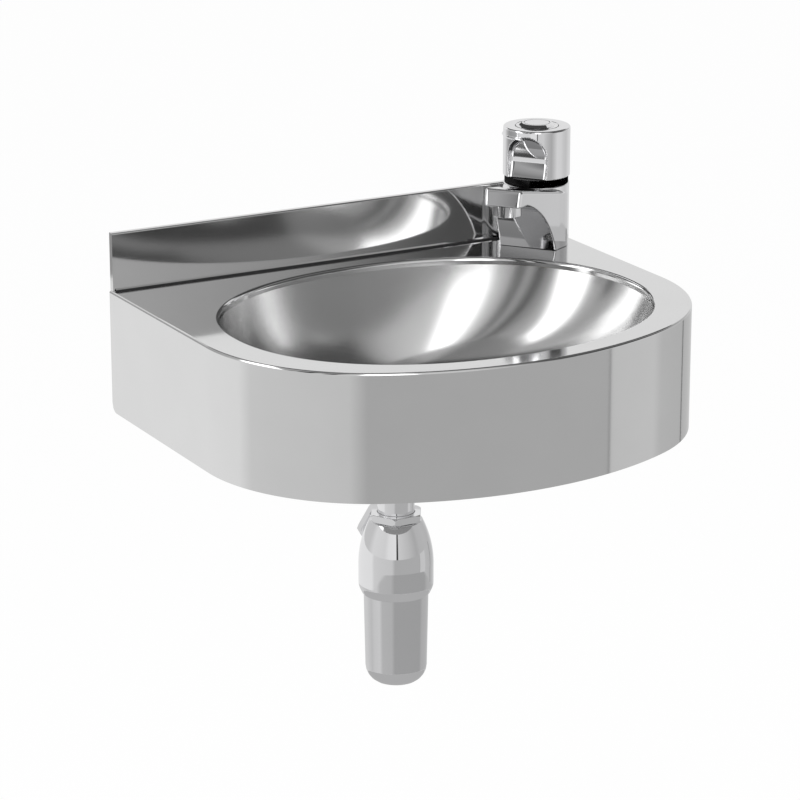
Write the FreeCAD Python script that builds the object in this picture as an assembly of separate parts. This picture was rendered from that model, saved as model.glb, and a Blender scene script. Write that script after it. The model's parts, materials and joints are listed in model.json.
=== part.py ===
"""Wall-hung stainless steel hand wash basin with splashback, push tap and bottle trap.

Millimetres. X runs along the wall to the right, +Y into the wall, Z up. The wall is the plane
y = 0 and the origin is the middle of the two wall fixing holes. The shapes are drawn with the
deck's top at z = 0 and are lifted to the origin when they are written.
"""
import FreeCAD
import Part
import math
import os

V = FreeCAD.Vector
UP = V(0, 0, 1)

# ---- basin ----
basin_width = 430.0
basin_depth = 350.0            # wall to the front of the apron
apron_height = 106.0
sheet = 1.2                    # steel thickness
fold_radius = 3.0              # outside radius of every fold
apron_corner_radius = 148.0    # plan radius of the two front corners
apron_front_radius = 301.0     # plan radius of the bowed front
apron_heel_radius = 8.0        # rounding of the apron's lower rear corners
splash_height = 50.0
splash_standoff = 5.5          # splashback's front face to the wall
splash_lean_in = 1.0           # gap between the splashback's ends and the deck's edges
flange_height = 60.0           # rear flange below the deck
fixing_drop = 35.0             # wall fixing holes below the deck's top
fixing_spacing = 260.0
fixing_hole_radius = 4.25
ledge_clearance = 3.2          # flange's ledge to the tap's washer or the bowl
weld_gap = 0.1                 # between sheet pieces that are joined by a weld

# ---- bowl ----
rim_side = 31.5                # deck beside the bowl's opening
rim_front = 23.2               # deck in front of it
rim_rear = 31.3                # deck behind it
bowl_squareness = 2.15         # 2 is an ellipse
bowl_fullness = 2.2            # 2 is an elliptical wall section
bowl_depth = 92.0
rim_lip = 6.0                  # depth of the rolled lip of the opening
bowl_floor_radius = 42.0       # flat round the waste
bowl_sections = 7
outline_points = 24            # curve points of each bowl section

# ---- waste ----
waste_from_wall = 106.5
waste_recess_radius = 34.0
waste_recess_depth = 4.0
waste_hole_radius = 21.6
waste_flange_radius = 32.5
waste_flange_thickness = 2.5
waste_flange_edge = 1.4        # rounding of the flange's rim
waste_thread_radius = 20.95
waste_bore_radius = 17.5
waste_tail_length = 46.0
waste_seal_thickness = 1.5
waste_seal_margin = 1.0        # top seal inside the flange's rim
strainer_hole_radius = 2.5
strainer_circle = 7.0          # radius of the first circle of holes; the second is twice it
strainer_land = 2.5            # flat ring outside the strainer's bore
strainer_plate_thickness = 1.8
lower_seal_thickness = 2.5
lower_seal_width = 7.0
backnut_height = 9.0
backnut_across_flats = 55.0

# ---- bottle trap ----
tube_radius = 16.0
tube_wall = 1.0
tube_collar_radius = 19.6
tube_collar_thickness = 2.5
dip_clearance = 32.3           # dip tube's end above the underside of the cup
coupling_radius = 25.5
coupling_height = 20.0
coupling_lip = 3.0
coupling_across_flats = 48.5
coupling_end_band = 3.3        # round part above and below the grip
coupling_washer_thickness = 2.0
inlet_nut_top_depth = 198.7
inlet_nut_height = 6.5
inlet_nut_across_flats = 42.5
inlet_seal_thickness = 3.0
inlet_seal_radius = 19.0
trap_wall = 2.2
trap_top_radius = 22.5
trap_body_radius = 32.5
trap_shoulder_height = 41.0    # curved part below the inlet nut
trap_barrel_height = 19.0      # straight part
trap_chamfer_height = 6.5
trap_mouth_margin = 1.0        # bell's lower edge outside the cup
trap_seat_band = 1.0           # straight edge of the ledge for the cup's seal
cup_top_radius = 28.2
cup_bottom_radius = 26.4
cup_corner_radius = 15.5
cup_wall = 1.8
cup_height = 91.5
cup_insertion = 9.0            # cup inside the bell
cup_seal_thickness = 2.6
outlet_below_top = 22.7        # outlet's axis below the bell's top
outlet_swing = 17.0            # degrees, outlet turned from square to the wall
outlet_boss_radius = 19.0
outlet_boss_reach = 36.0
outlet_bore_radius = 16.25
outlet_bore_start = 24.0
outlet_nut_across_flats = 44.5
outlet_nut_length = 12.0
outlet_nut_reach = 45.5
outlet_seal_thickness = 2.5

# ---- tap ----
tap_from_side = 35.7           # axis to the side of the apron
tap_from_wall = 35.6
tap_radius = 29.0
tap_body_height = 56.0
spout_reach = 85.0             # axis to the lower edge of the spout's end
spout_end_setback = 3.5        # end face leans back by this much at its top
spout_end_width = 32.5
spout_end_rise = 10.5          # end face's top above the body's top
spout_end_height = 15.0
spout_root_drop = 0.7          # spout's top below the body's, where it leaves it
spout_edge_radius = 3.0
arch_foot = 20.0               # front of the tap's foot, from its axis
arch_middle_reach = 38.0
arch_middle_drop = 20.5        # below the spout's end
arch_end = 71.0
waterway_radius = 4.0
waterway_drop = 13.0           # start of the spout's waterway below the body's top
cartridge_bore_radius = 20.0
cartridge_floor = 22.0
ring_height = 6.4
ring_inset = 1.0
head_radius = 29.4
head_height = 43.3
head_edge_radius = 1.6
head_core_radius = 14.5
head_web = 2.0                 # floor under the button's spring
scoop_half_width = 18.0
scoop_apex_below_top = 6.0
scoop_mouth_depth = 6.5        # depth of the scoop at the top and bottom of its curve
scoop_depth = 11.5
button_radius = 18.7
button_face_radius = 12.2
button_rise = 2.5
button_thickness = 4.5
button_travel = 4.0
button_gap = 0.4
button_groove_inset = 1.4
button_groove_width = 0.6
button_groove_depth = 0.4
spring_radius = 10.8
spring_wire = 0.8              # radius of the wire
spring_turns = 3
spring_pocket_depth = 7.4
rod_radius = 4.0
rod_end_gap = 1.0              # below the rod when the button is down
stem_radius = 8.5
stem_insertion = 8.0           # stem inside the body
cartridge_neck_radius = 12.5
cartridge_neck_height = 10.0
cartridge_shoulder_drop = 1.0  # shoulder below the top of the tap's body
cartridge_web = 2.0            # between the rod's well and the water ports
cartridge_nut_height = 5.5
shank_radius = 14.0
shank_length = 46.0            # below the deck
shank_socket = 9.0             # shank inside the body
tap_hole_radius = 15.0
port_radius = 5.0
port_depth = 12.0
port_spacing = 13.0
base_gasket_radius = 18.6
base_gasket_thickness = 1.2
clamp_radius = 25.0
rubber_thickness = 2.0
clamp_thickness = 2.0
fixing_nut_height = 9.0
fixing_nut_across_flats = 38.0
aerator_radius = 12.5
aerator_neck_radius = 10.8
aerator_bore_radius = 9.7
aerator_from_axis = 72.0
aerator_drop = 10.0
aerator_edge_radius = 0.8
aerator_neck_height = 6.0
aerator_grille_thickness = 5.0
aerator_grille_recess = 1.0
aerator_hole_radius = 1.25
aerator_circle = 3.7           # radius of the first circle of holes; the second is twice it
aerator_seal_thickness = 1.4
aerator_seal_lip = 0.5         # seal inside the housing's bore

# ---- fits ----
slip = 0.3                     # radial gap between pieces that slide or turn
snug = 0.1                     # gap between pieces that are clamped together
past = 1.0                     # how far a cutter reaches past what it cuts

# ---- places that follow from the sizes ----
deck_above_origin = fixing_drop
bowl_length = basin_width - 2 * rim_side
bowl_reach = basin_depth - rim_front - rim_rear
bowl_centre_from_wall = rim_rear + bowl_reach / 2
tap_from_middle = basin_width / 2 - tap_from_side
ledge_width = min(rim_rear, tap_from_wall - clamp_radius) - ledge_clearance
waste_at = V(0, -waste_from_wall, 0)
tap_at = V(tap_from_middle, -tap_from_wall, 0)
bowl_at = V(0, -bowl_centre_from_wall, 0)
spout_angle = math.degrees(math.atan2(bowl_at.y - tap_at.y, bowl_at.x - tap_at.x))
ring_low = tap_body_height + snug
head_low = ring_low + ring_height + snug
head_top = head_low + head_height
recess_floor = -bowl_depth - waste_recess_depth
flange_low = recess_floor + waste_seal_thickness + snug
tail_end = flange_low - waste_tail_length
collar_top = tail_end - coupling_washer_thickness - 2 * snug
bell_top = -inlet_nut_top_depth - inlet_nut_height - snug
bell_barrel_top = bell_top - trap_shoulder_height
bell_barrel_low = bell_barrel_top - trap_barrel_height
bell_low = bell_barrel_low - trap_chamfer_height
outlet_height = bell_top - outlet_below_top
cup_rim = bell_low + cup_insertion
cup_bottom = cup_rim - cup_height
dip_end = cup_bottom + dip_clearance
cup_seat = cup_rim + cup_seal_thickness + 2 * snug
bell_mouth_radius = cup_top_radius + slip
cartridge_shoulder = tap_body_height - cartridge_shoulder_drop
stem_foot = tap_body_height - stem_insertion
spout_end_high = tap_body_height + spout_end_rise
spout_end_low = spout_end_high - spout_end_height
arch_middle = (arch_middle_reach, spout_end_low - arch_middle_drop)


# ---- general shapes ----
def cylinder(radius, low, high, at=V(0, 0, 0)):
    """Upright round bar between two heights."""
    return Part.makeCylinder(radius, high - low, V(at.x, at.y, low), UP)


def collar(outer, inner, low, high, at=V(0, 0, 0)):
    """Upright ring between two heights."""
    return cylinder(outer, low, high, at).cut(cylinder(inner, low - past, high + past, at))


def hexagon(across_flats, low, high, at=V(0, 0, 0)):
    """Upright hexagonal bar between two heights."""
    corner = across_flats / math.sqrt(3)
    points = [V(at.x + corner * math.cos(math.radians(60 * i)),
                at.y + corner * math.sin(math.radians(60 * i)), low) for i in range(7)]
    return Part.Face(Part.makePolygon(points)).extrude(UP * (high - low))


def nut(across_flats, bore, low, high, at=V(0, 0, 0)):
    """Hexagonal nut whose corners are turned down to a bevel at both ends."""
    corner = across_flats / math.sqrt(3)
    bevel = (corner - across_flats / 2) / 2
    turned_down = spindle([(0, low), (corner - bevel, low), (corner, low + bevel),
                           (corner, high - bevel), (corner - bevel, high), (0, high)], at)
    solid = hexagon(across_flats, low, high, at).common(turned_down)
    return solid.cut(cylinder(bore, low - past, high + past, at))


def spindle(profile, at=V(0, 0, 0)):
    """Solid turned about the upright axis from (radius, height) points; a third value bulges an arc."""
    return turned_face(profile).revolve(V(0, 0, 0), UP, 360).translated(at)


def turned_face(profile):
    """Flat face in the XZ plane. A point (r, z, (mr, mz)) is reached by an arc through (mr, mz)."""
    edges = []
    start = V(profile[0][0], 0, profile[0][1])
    first = start
    for point in profile[1:]:
        end = V(point[0], 0, point[1])
        if len(point) == 3:
            edges.append(Part.Arc(start, V(point[2][0], 0, point[2][1]), end).toShape())
        else:
            edges.append(Part.LineSegment(start, end).toShape())
        start = end
    edges.append(Part.LineSegment(start, first).toShape())
    return Part.Face(Part.Wire(edges))


def mid_of_corner(centre, radius, degrees):
    """Point of a round corner, for the arc that turns it."""
    return (centre[0] + radius * math.cos(math.radians(degrees)),
            centre[1] + radius * math.sin(math.radians(degrees)))


def side_slab(profile, half_width):
    """Prism across Y from a profile in the XZ plane."""
    return turned_face(profile).translated(V(0, -half_width, 0)).extrude(V(0, 2 * half_width, 0))


def edges_at_height(shape, height, keep=lambda edge: True):
    """Edges that lie flat at one height."""
    level = [edge for edge in shape.Edges
             if abs(edge.BoundBox.ZMin - height) < 1e-3 and abs(edge.BoundBox.ZMax - height) < 1e-3]
    return [edge for edge in level if keep(edge)]


def ring_of_holes(radius, low, high, counts_and_circles, at=V(0, 0, 0)):
    """Round holes on circles about a point: pairs of how many and the circle's radius."""
    holes = []
    for count, circle in counts_and_circles:
        for i in range(count):
            turn = 2 * math.pi * i / count
            centre = V(at.x + circle * math.cos(turn), at.y + circle * math.sin(turn), 0)
            holes.append(cylinder(radius, low - past, high + past, centre))
    return Part.makeCompound(holes)


# ---- basin ----
def apron_outline(inset, rear):
    """Plan of the apron: straight sides, round corners and a bowed front, drawn inset by a wall."""
    half = basin_width / 2 - inset
    corner = apron_corner_radius - inset
    front = apron_front_radius - inset
    front_centre = -basin_depth + apron_front_radius
    corner_x = basin_width / 2 - apron_corner_radius
    reach = apron_front_radius - apron_corner_radius
    corner_y = front_centre - math.sqrt(reach ** 2 - corner_x ** 2)
    # the two arcs touch on the line through their centres
    lean = math.atan2(corner_y - front_centre, corner_x)
    touch = V(corner_x + corner * math.cos(lean), corner_y + corner * math.sin(lean), 0)
    middle = V(corner_x + corner * math.cos(lean / 2), corner_y + corner * math.sin(lean / 2), 0)
    mirror = lambda p: V(-p.x, p.y, 0)
    side = V(half, corner_y, 0)
    back = V(half, rear, 0)
    edges = [Part.LineSegment(back, side).toShape(),
             Part.Arc(side, middle, touch).toShape(),
             Part.Arc(touch, V(0, front_centre - front, 0), mirror(touch)).toShape(),
             Part.Arc(mirror(touch), mirror(middle), mirror(side)).toShape(),
             Part.LineSegment(mirror(side), mirror(back)).toShape(),
             Part.LineSegment(mirror(back), back).toShape()]
    return Part.Face(Part.Wire(edges))


def bowl_outline(half_x, half_y, centre_y, height, squareness):
    """Closed smooth curve of a rounded oval at one height."""
    points = []
    for i in range(outline_points):
        turn = 2 * math.pi * i / outline_points
        c = math.cos(turn)
        s = math.sin(turn)
        x = half_x * math.copysign(abs(c) ** (2 / squareness), c)
        y = half_y * math.copysign(abs(s) ** (2 / squareness), s)
        points.append(V(x, centre_y + y, height))
    curve = Part.BSplineCurve()
    curve.interpolate(Points=points, PeriodicFlag=True)
    return Part.Wire([curve.toShape()])


def opening(grow, low, high):
    """Upright block with the plan of the bowl's opening, grown by a wall."""
    wire = bowl_outline(bowl_length / 2 + grow, bowl_reach / 2 + grow, bowl_at.y, low, bowl_squareness)
    return Part.Face(wire).extrude(UP * (high - low))


def make_deck_and_apron():
    outer = apron_outline(0, 0).translated(V(0, 0, -apron_height - past)).extrude(UP * (apron_height + past))
    outer = outer.makeFillet(fold_radius, edges_at_height(outer, 0, lambda e: e.BoundBox.YMin < -past))
    outer = outer.cut(opening(0, -apron_height - 2 * past, past))
    rim = edges_at_height(outer, 0, on_bowl_rim)
    outer = outer.makeFillet(fold_radius, rim)

    inside_radius = fold_radius - sheet
    inner = apron_outline(sheet, past).translated(V(0, 0, -apron_height - 2 * past))
    inner = inner.extrude(UP * (apron_height + 2 * past - sheet))
    inner = inner.makeFillet(inside_radius, edges_at_height(inner, -sheet, lambda e: e.BoundBox.YMin < 0))
    inner = inner.cut(opening(sheet, -rim_lip, past))
    inner = inner.makeFillet(inside_radius, edges_at_height(inner, -sheet, on_bowl_rim))

    shell = outer.cut(inner)
    heel = mid_of_corner((-apron_heel_radius, -apron_height + apron_heel_radius), apron_heel_radius, -45)
    side = [V(0, -basin_depth - past, past), V(0, 0, past), V(0, 0, -apron_height + apron_heel_radius),
            V(0, -apron_heel_radius, -apron_height), V(0, -basin_depth - past, -apron_height)]
    edges = [Part.LineSegment(side[0], side[1]).toShape(),
             Part.LineSegment(side[1], side[2]).toShape(),
             Part.Arc(side[2], V(0, heel[0], heel[1]), side[3]).toShape(),
             Part.LineSegment(side[3], side[4]).toShape(),
             Part.LineSegment(side[4], side[0]).toShape()]
    trim = Part.Face(Part.Wire(edges)).translated(V(-basin_width, 0, 0)).extrude(V(2 * basin_width, 0, 0))
    shell = shell.common(trim)
    return shell.cut(cylinder(tap_hole_radius, -sheet - past, past, tap_at))


def on_bowl_rim(edge):
    """True for the edges of the bowl's opening, which stay clear of the apron's outline."""
    box = edge.BoundBox
    return box.YMax < -past and box.XMax < basin_width / 2 - fold_radius - past and edge.isClosed()


def bowl_body(wall):
    """Filled bowl form, from the lip down to the flat floor; wall is how much it is grown."""
    sections = []
    for i in range(bowl_sections):
        turn = math.pi / 2 * i / (bowl_sections - 1)
        spread = math.cos(turn) ** (2 / bowl_fullness) if i < bowl_sections - 1 else 0
        sink = math.sin(turn) ** (2 / bowl_fullness)
        half_x = bowl_floor_radius + (bowl_length / 2 - bowl_floor_radius) * spread + wall
        half_y = bowl_floor_radius + (bowl_reach / 2 - bowl_floor_radius) * spread + wall
        centre = waste_at.y + (bowl_at.y - waste_at.y) * spread
        height = -rim_lip - (bowl_depth - rim_lip) * sink - wall * sink
        squareness = 2 + (bowl_squareness - 2) * spread
        sections.append(bowl_outline(half_x, half_y, centre, height, squareness))
    return Part.makeLoft(sections, True, False)


def make_bowl():
    pressed = bowl_body(sheet)
    recess = cylinder(waste_recess_radius + sheet, recess_floor - sheet, -bowl_depth - sheet, waste_at)
    hollow = cylinder(waste_recess_radius, recess_floor, -bowl_depth + past, waste_at)
    bowl = pressed.fuse(recess).cut(bowl_body(0)).cut(hollow)
    bowl = bowl.cut(cylinder(waste_hole_radius, recess_floor - 2 * sheet, recess_floor + past, waste_at))
    return bowl.translated(V(0, 0, -weld_gap))


def make_splashback():
    half = basin_width / 2 - splash_lean_in
    top = splash_height + weld_gap
    block = Part.makeBox(2 * half, splash_standoff, splash_height, V(-half, -splash_standoff, weld_gap))
    front = edges_at_height(block, top, lambda e: e.BoundBox.YMax < -splash_standoff / 2)
    block = block.makeFillet(sheet, front)
    hollow = Part.makeBox(2 * (half - sheet), splash_standoff, splash_height,
                          V(-half + sheet, -splash_standoff + sheet, weld_gap - sheet))
    return block.cut(hollow)


def make_rear_flange():
    """Plate with the wall fixing holes, and a ledge along its top that is welded under the deck."""
    half = basin_width / 2 - sheet - fold_radius
    top = -sheet - weld_gap
    plate = Part.makeBox(2 * half, sheet, top + flange_height, V(-half, -sheet, -flange_height))
    ledge = Part.makeBox(2 * half, ledge_width, sheet, V(-half, -ledge_width, top - sheet))
    flange = plate.fuse(ledge).removeSplitter()
    for side in (-1, 1):
        hole = Part.makeCylinder(fixing_hole_radius, 2 * past + sheet,
                                 V(side * fixing_spacing / 2, -sheet - past, -fixing_drop), V(0, 1, 0))
        flange = flange.cut(hole)
    return flange


# ---- waste ----
def make_waste_strainer():
    top = flange_low + waste_flange_thickness
    rim = waste_flange_radius - waste_flange_edge
    body = spindle([(0, flange_low), (waste_flange_radius, flange_low),
                    (rim, flange_low + waste_flange_edge, mid_of_corner((rim, flange_low), waste_flange_edge, 45)),
                    (waste_bore_radius + strainer_land, top), (0, top)], waste_at)
    body = body.fuse(cylinder(waste_thread_radius, tail_end, flange_low, waste_at))
    plate_low = top - strainer_plate_thickness
    body = body.cut(cylinder(waste_bore_radius, tail_end - past, plate_low, waste_at))
    return body.cut(ring_of_holes(strainer_hole_radius, plate_low, top,
                                  [(1, 0), (6, strainer_circle), (12, 2 * strainer_circle)], waste_at))


def make_waste_top_seal():
    return collar(waste_flange_radius - waste_seal_margin, waste_thread_radius + snug,
                  recess_floor - weld_gap + snug, flange_low - snug, waste_at)


def make_waste_lower_seal():
    high = recess_floor - sheet - weld_gap - snug
    return collar(waste_thread_radius + lower_seal_width, waste_thread_radius + snug,
                  high - lower_seal_thickness, high, waste_at)


def make_waste_backnut():
    high = recess_floor - sheet - weld_gap - lower_seal_thickness - 2 * snug
    return nut(backnut_across_flats, waste_thread_radius + snug, high - backnut_height, high, waste_at)


# ---- bottle trap ----
def make_trap_coupling_washer():
    high = tail_end - snug
    return collar(waste_thread_radius - snug, tube_radius + slip,
                  high - coupling_washer_thickness, high, waste_at)


def make_trap_coupling_nut():
    lip_top = collar_top - tube_collar_thickness - snug
    low = lip_top - coupling_lip
    high = low + coupling_height
    body = cylinder(coupling_radius, low, high, waste_at)
    body = body.fuse(nut(coupling_across_flats, waste_thread_radius, low + coupling_end_band,
                         high - coupling_end_band, waste_at))
    body = body.cut(cylinder(waste_thread_radius + snug, lip_top, high + past, waste_at))
    return body.cut(cylinder(tube_radius + slip, low - past, lip_top + past, waste_at))


def make_trap_inlet_tube():
    tube = cylinder(tube_radius, dip_end, collar_top, waste_at)
    tube = tube.fuse(cylinder(tube_collar_radius, collar_top - tube_collar_thickness, collar_top, waste_at))
    return tube.cut(cylinder(tube_radius - tube_wall, dip_end - past, collar_top + past, waste_at))


def make_trap_inlet_nut():
    low = bell_top + snug
    return nut(inlet_nut_across_flats, tube_radius + slip, low, low + inlet_nut_height, waste_at)


def make_trap_inlet_seal():
    return collar(inlet_seal_radius, tube_radius + snug, bell_top - inlet_seal_thickness, bell_top, waste_at)


def bell_profile(wall):
    """Outline of the bell from its top to its mouth, drawn inside itself by a wall."""
    top = bell_top - wall
    shoulder = trap_shoulder_height - wall
    rise = trap_body_radius - trap_top_radius
    sweep = (shoulder ** 2 + rise ** 2) / (2 * rise)
    turn = math.asin(shoulder / sweep) / 2
    middle = (trap_body_radius - wall - sweep * (1 - math.cos(turn)),
              bell_barrel_top + sweep * math.sin(turn))
    return [(0, top), (trap_top_radius - wall, top), (trap_body_radius - wall, bell_barrel_top, middle),
            (trap_body_radius - wall, bell_barrel_low)]


def outlet_turned(shape):
    """A piece drawn along +Y from the trap's axis, swung to the outlet's direction."""
    turned = shape.rotated(V(0, 0, 0), UP, -outlet_swing)
    return turned.translated(V(waste_at.x, waste_at.y, outlet_height))


def outlet_bar(radius, start, end):
    return Part.makeCylinder(radius, end - start, V(0, start, 0), V(0, 1, 0))


def make_trap_body():
    outer = bell_profile(0) + [(bell_mouth_radius + trap_mouth_margin, bell_low), (0, bell_low)]
    boss = outlet_turned(outlet_bar(outlet_boss_radius, 0, outlet_boss_reach))
    body = spindle(outer, waste_at).fuse(boss)
    # inside, a cone runs in from the wall to the ledge that the cup's seal lies against
    inner_radius = trap_body_radius - trap_wall
    seat_radius = cup_top_radius - cup_wall
    cone_low = cup_seat + trap_seat_band
    inner = bell_profile(trap_wall)[:-1]
    inner = inner + [(inner_radius, cone_low + inner_radius - seat_radius), (seat_radius, cone_low),
                     (seat_radius, cup_seat), (0, cup_seat)]
    body = body.cut(spindle(inner, waste_at))
    body = body.cut(cylinder(bell_mouth_radius, bell_low - past, cup_seat, waste_at))
    body = body.cut(cylinder(tube_radius + slip, bell_top - 2 * trap_wall, bell_top + past, waste_at))
    seal_low = bell_top - inlet_seal_thickness - snug
    body = body.cut(cylinder(inlet_seal_radius + snug, seal_low, bell_top + past, waste_at))
    body = body.fuse(seal_seat())
    body = body.cut(outlet_turned(outlet_bar(outlet_bore_radius, outlet_bore_start, outlet_boss_reach + past)))
    # water passes the tube's side to the outlet
    return body.cut(cylinder(tube_radius + 2 * trap_wall, outlet_height - outlet_bore_radius,
                             outlet_height + outlet_bore_radius - 2 * trap_wall, waste_at))


def seal_seat():
    """Inner collar of the bell's top that carries the inlet seal."""
    high = bell_top - inlet_seal_thickness - snug
    return collar(inlet_seal_radius + trap_wall, tube_radius + slip, high - trap_wall, high, waste_at)


def make_trap_cup_seal():
    return collar(cup_top_radius - 2 * snug, cup_top_radius - cup_wall + snug, cup_rim + snug,
                  cup_rim + snug + cup_seal_thickness, waste_at)


def cup_profile(wall):
    """Outline of the cup from its rim to its rounded bottom, drawn inside itself by a wall."""
    corner = cup_corner_radius - wall
    floor = cup_bottom + wall
    centre = (cup_bottom_radius - cup_corner_radius, floor + corner)
    low = (cup_bottom_radius - wall, floor + corner)
    return [(0, cup_rim), (cup_top_radius - wall, cup_rim), low,
            (centre[0], floor, mid_of_corner(centre, corner, -45)), (0, floor)]


def make_trap_cup():
    hollow = cup_profile(cup_wall)
    raised = [(0, cup_rim + past), (cup_top_radius - cup_wall, cup_rim + past)] + hollow[1:]
    return spindle(cup_profile(0), waste_at).cut(spindle(raised, waste_at))


def make_trap_outlet_nut():
    start = outlet_nut_reach - outlet_nut_length
    shell = nut(outlet_nut_across_flats, outlet_bore_radius + snug, 0, outlet_nut_length)
    shell = shell.rotated(V(0, 0, 0), V(1, 0, 0), -90).translated(V(0, start, 0))
    thread_end = outlet_boss_reach + outlet_seal_thickness + 2 * snug
    thread = outlet_bar(outlet_boss_radius + snug, start - past, thread_end)
    return outlet_turned(shell.cut(thread))


def make_trap_outlet_seal():
    start = outlet_boss_reach + snug
    ring = outlet_bar(outlet_boss_radius - slip, start, start + outlet_seal_thickness)
    bore = outlet_bar(outlet_bore_radius + snug / 2, start - past, start + outlet_seal_thickness + past)
    return outlet_turned(ring.cut(bore))


# ---- tap, drawn with its axis at the origin and its spout along +X ----
def placed_tap(shape):
    """A piece of the tap turned to the bowl and set on its hole in the deck."""
    return shape.rotated(V(0, 0, 0), UP, spout_angle).translated(tap_at)


def spout_block():
    """Tapering bar of the spout, from the body's axis to the end face, before the arch is cut."""
    half = spout_end_width / 2
    distance = math.hypot(spout_reach, half)
    turn = math.atan2(half, spout_reach) + math.acos(tap_radius / distance)
    touch = V(tap_radius * math.cos(turn), tap_radius * math.sin(turn), 0)
    plan = [V(0, touch.y, 0), touch, V(spout_reach, half, 0), V(spout_reach, -half, 0),
            V(touch.x, -touch.y, 0), V(0, -touch.y, 0)]
    prism = Part.Face(Part.makePolygon(plan + [plan[0]])).extrude(UP * (spout_end_high + past))
    end_top = spout_reach - spout_end_setback
    fall = (spout_end_rise + spout_root_drop) / (end_top - tap_radius)
    side = [(0, 0), (spout_reach, 0), (spout_reach, spout_end_low), (end_top, spout_end_high),
            (0, spout_end_high - fall * end_top)]
    block = prism.common(side_slab(side, tap_radius + past))
    # every edge that reaches the end face, apart from those of the flat underside
    tip = [edge for edge in block.Edges
           if edge.BoundBox.XMax > end_top - 1e-3 and edge.BoundBox.ZMax > spout_end_low + 1e-3]
    return block.makeFillet(spout_edge_radius, tip)


def arch_cutter():
    """Space under the spout, bounded by one large hollow curve."""
    far = spout_reach + 2 * tap_radius
    return side_slab([(arch_foot, -past), (arch_foot, 0), (arch_end, spout_end_low, arch_middle),
                      (far, spout_end_low), (far, -past)], 2 * tap_radius)


def make_tap_body():
    body = cylinder(tap_radius, 0, tap_body_height).fuse(spout_block()).cut(arch_cutter())
    body = body.cut(cylinder(spout_reach + past, -past, snug))
    body = body.cut(cylinder(cartridge_bore_radius, cartridge_floor, tap_body_height + past))
    body = body.cut(cylinder(shank_radius + snug, -past, shank_socket + snug))
    body = body.cut(cylinder(base_gasket_radius + snug, -past, base_gasket_thickness + snug))
    for side in (-1, 1):
        body = body.cut(cylinder(waterway_radius, shank_socket - past, cartridge_floor + past,
                                 V(0, side * port_spacing / 2, 0)))
    start = V(cartridge_bore_radius - past, 0, tap_body_height - waterway_drop)
    end = V(aerator_from_axis, 0, spout_end_low + aerator_neck_height)
    body = body.cut(Part.makeCylinder(waterway_radius, (end - start).Length, start, end - start))
    at = V(aerator_from_axis, 0, 0)
    socket_top = spout_end_low + aerator_neck_height + aerator_seal_thickness + 2 * snug
    body = body.cut(cylinder(aerator_neck_radius + snug, spout_end_low - past, socket_top, at))
    body = body.cut(cylinder(aerator_radius + slip, spout_end_low - aerator_drop, spout_end_low, at))
    return placed_tap(body)


def make_base_gasket():
    return placed_tap(collar(base_gasket_radius, shank_radius + snug, snug / 2, base_gasket_thickness))


def make_tap_shank():
    low = -sheet - shank_length
    shank = cylinder(shank_radius, low, shank_socket)
    for side in (-1, 1):
        at = V(0, side * port_spacing / 2, 0)
        shank = shank.cut(cylinder(port_radius, low - past, low + port_depth, at))
        shank = shank.cut(cylinder(waterway_radius, low, shank_socket + past, at))
    return placed_tap(shank)


def make_tap_rubber_washer():
    high = -sheet - snug
    return placed_tap(collar(clamp_radius, shank_radius + snug, high - rubber_thickness, high))


def make_tap_clamp_washer():
    high = -sheet - rubber_thickness - 2 * snug
    return placed_tap(collar(clamp_radius - 1, shank_radius + snug, high - clamp_thickness, high))


def make_tap_fixing_nut():
    high = -sheet - rubber_thickness - clamp_thickness - 3 * snug
    return placed_tap(nut(fixing_nut_across_flats, shank_radius + snug, high - fixing_nut_height, high))


def make_temperature_ring():
    return placed_tap(collar(tap_radius - ring_inset, cartridge_bore_radius + snug,
                             ring_low, ring_low + ring_height))


def make_tap_cartridge():
    top = cartridge_shoulder + cartridge_neck_height
    body = cylinder(cartridge_bore_radius - snug, cartridge_floor + snug, cartridge_shoulder)
    body = body.fuse(cylinder(cartridge_neck_radius, cartridge_shoulder, top))
    stem_well = stem_foot - slip
    body = body.cut(cylinder(stem_radius + slip, stem_well, top + past))
    rod_well = stem_well - 2 * button_travel - rod_end_gap
    body = body.cut(cylinder(rod_radius + slip, rod_well, stem_well + past))
    for side in (-1, 1):
        body = body.cut(cylinder(waterway_radius, cartridge_floor - past, rod_well - cartridge_web,
                                 V(0, side * port_spacing / 2, 0)))
    return placed_tap(body)


def make_cartridge_nut():
    low = cartridge_shoulder + snug
    return placed_tap(collar(cartridge_bore_radius - snug, cartridge_neck_radius + snug,
                             low, low + cartridge_nut_height))


def scoop_cutter():
    """Finger scoop: an arch seen from the front, hollowed along a curve seen from the side."""
    apex = head_top - scoop_apex_below_top
    spring_line = apex - scoop_half_width
    low = head_low - past
    half = scoop_half_width
    edges = [Part.LineSegment(V(0, -half, low), V(0, half, low)).toShape(),
             Part.LineSegment(V(0, half, low), V(0, half, spring_line)).toShape(),
             Part.Arc(V(0, half, spring_line), V(0, 0, apex), V(0, -half, spring_line)).toShape(),
             Part.LineSegment(V(0, -half, spring_line), V(0, -half, low)).toShape()]
    arch = Part.Face(Part.Wire(edges)).extrude(V(2 * head_radius, 0, 0))
    mouth = head_radius - scoop_mouth_depth
    deep = head_radius - scoop_depth
    hollow = side_slab([(2 * head_radius, low), (mouth, low),
                        (mouth, apex, (deep, (low + apex) / 2)), (2 * head_radius, apex)], half + past)
    return arch.common(hollow)


def button_well():
    """Height of the floor that the button comes down to."""
    return head_top - button_thickness - button_travel - slip


def spring_web():
    """Height of the web in the head that the button's spring stands on."""
    return button_well() - spring_pocket_depth


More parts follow.
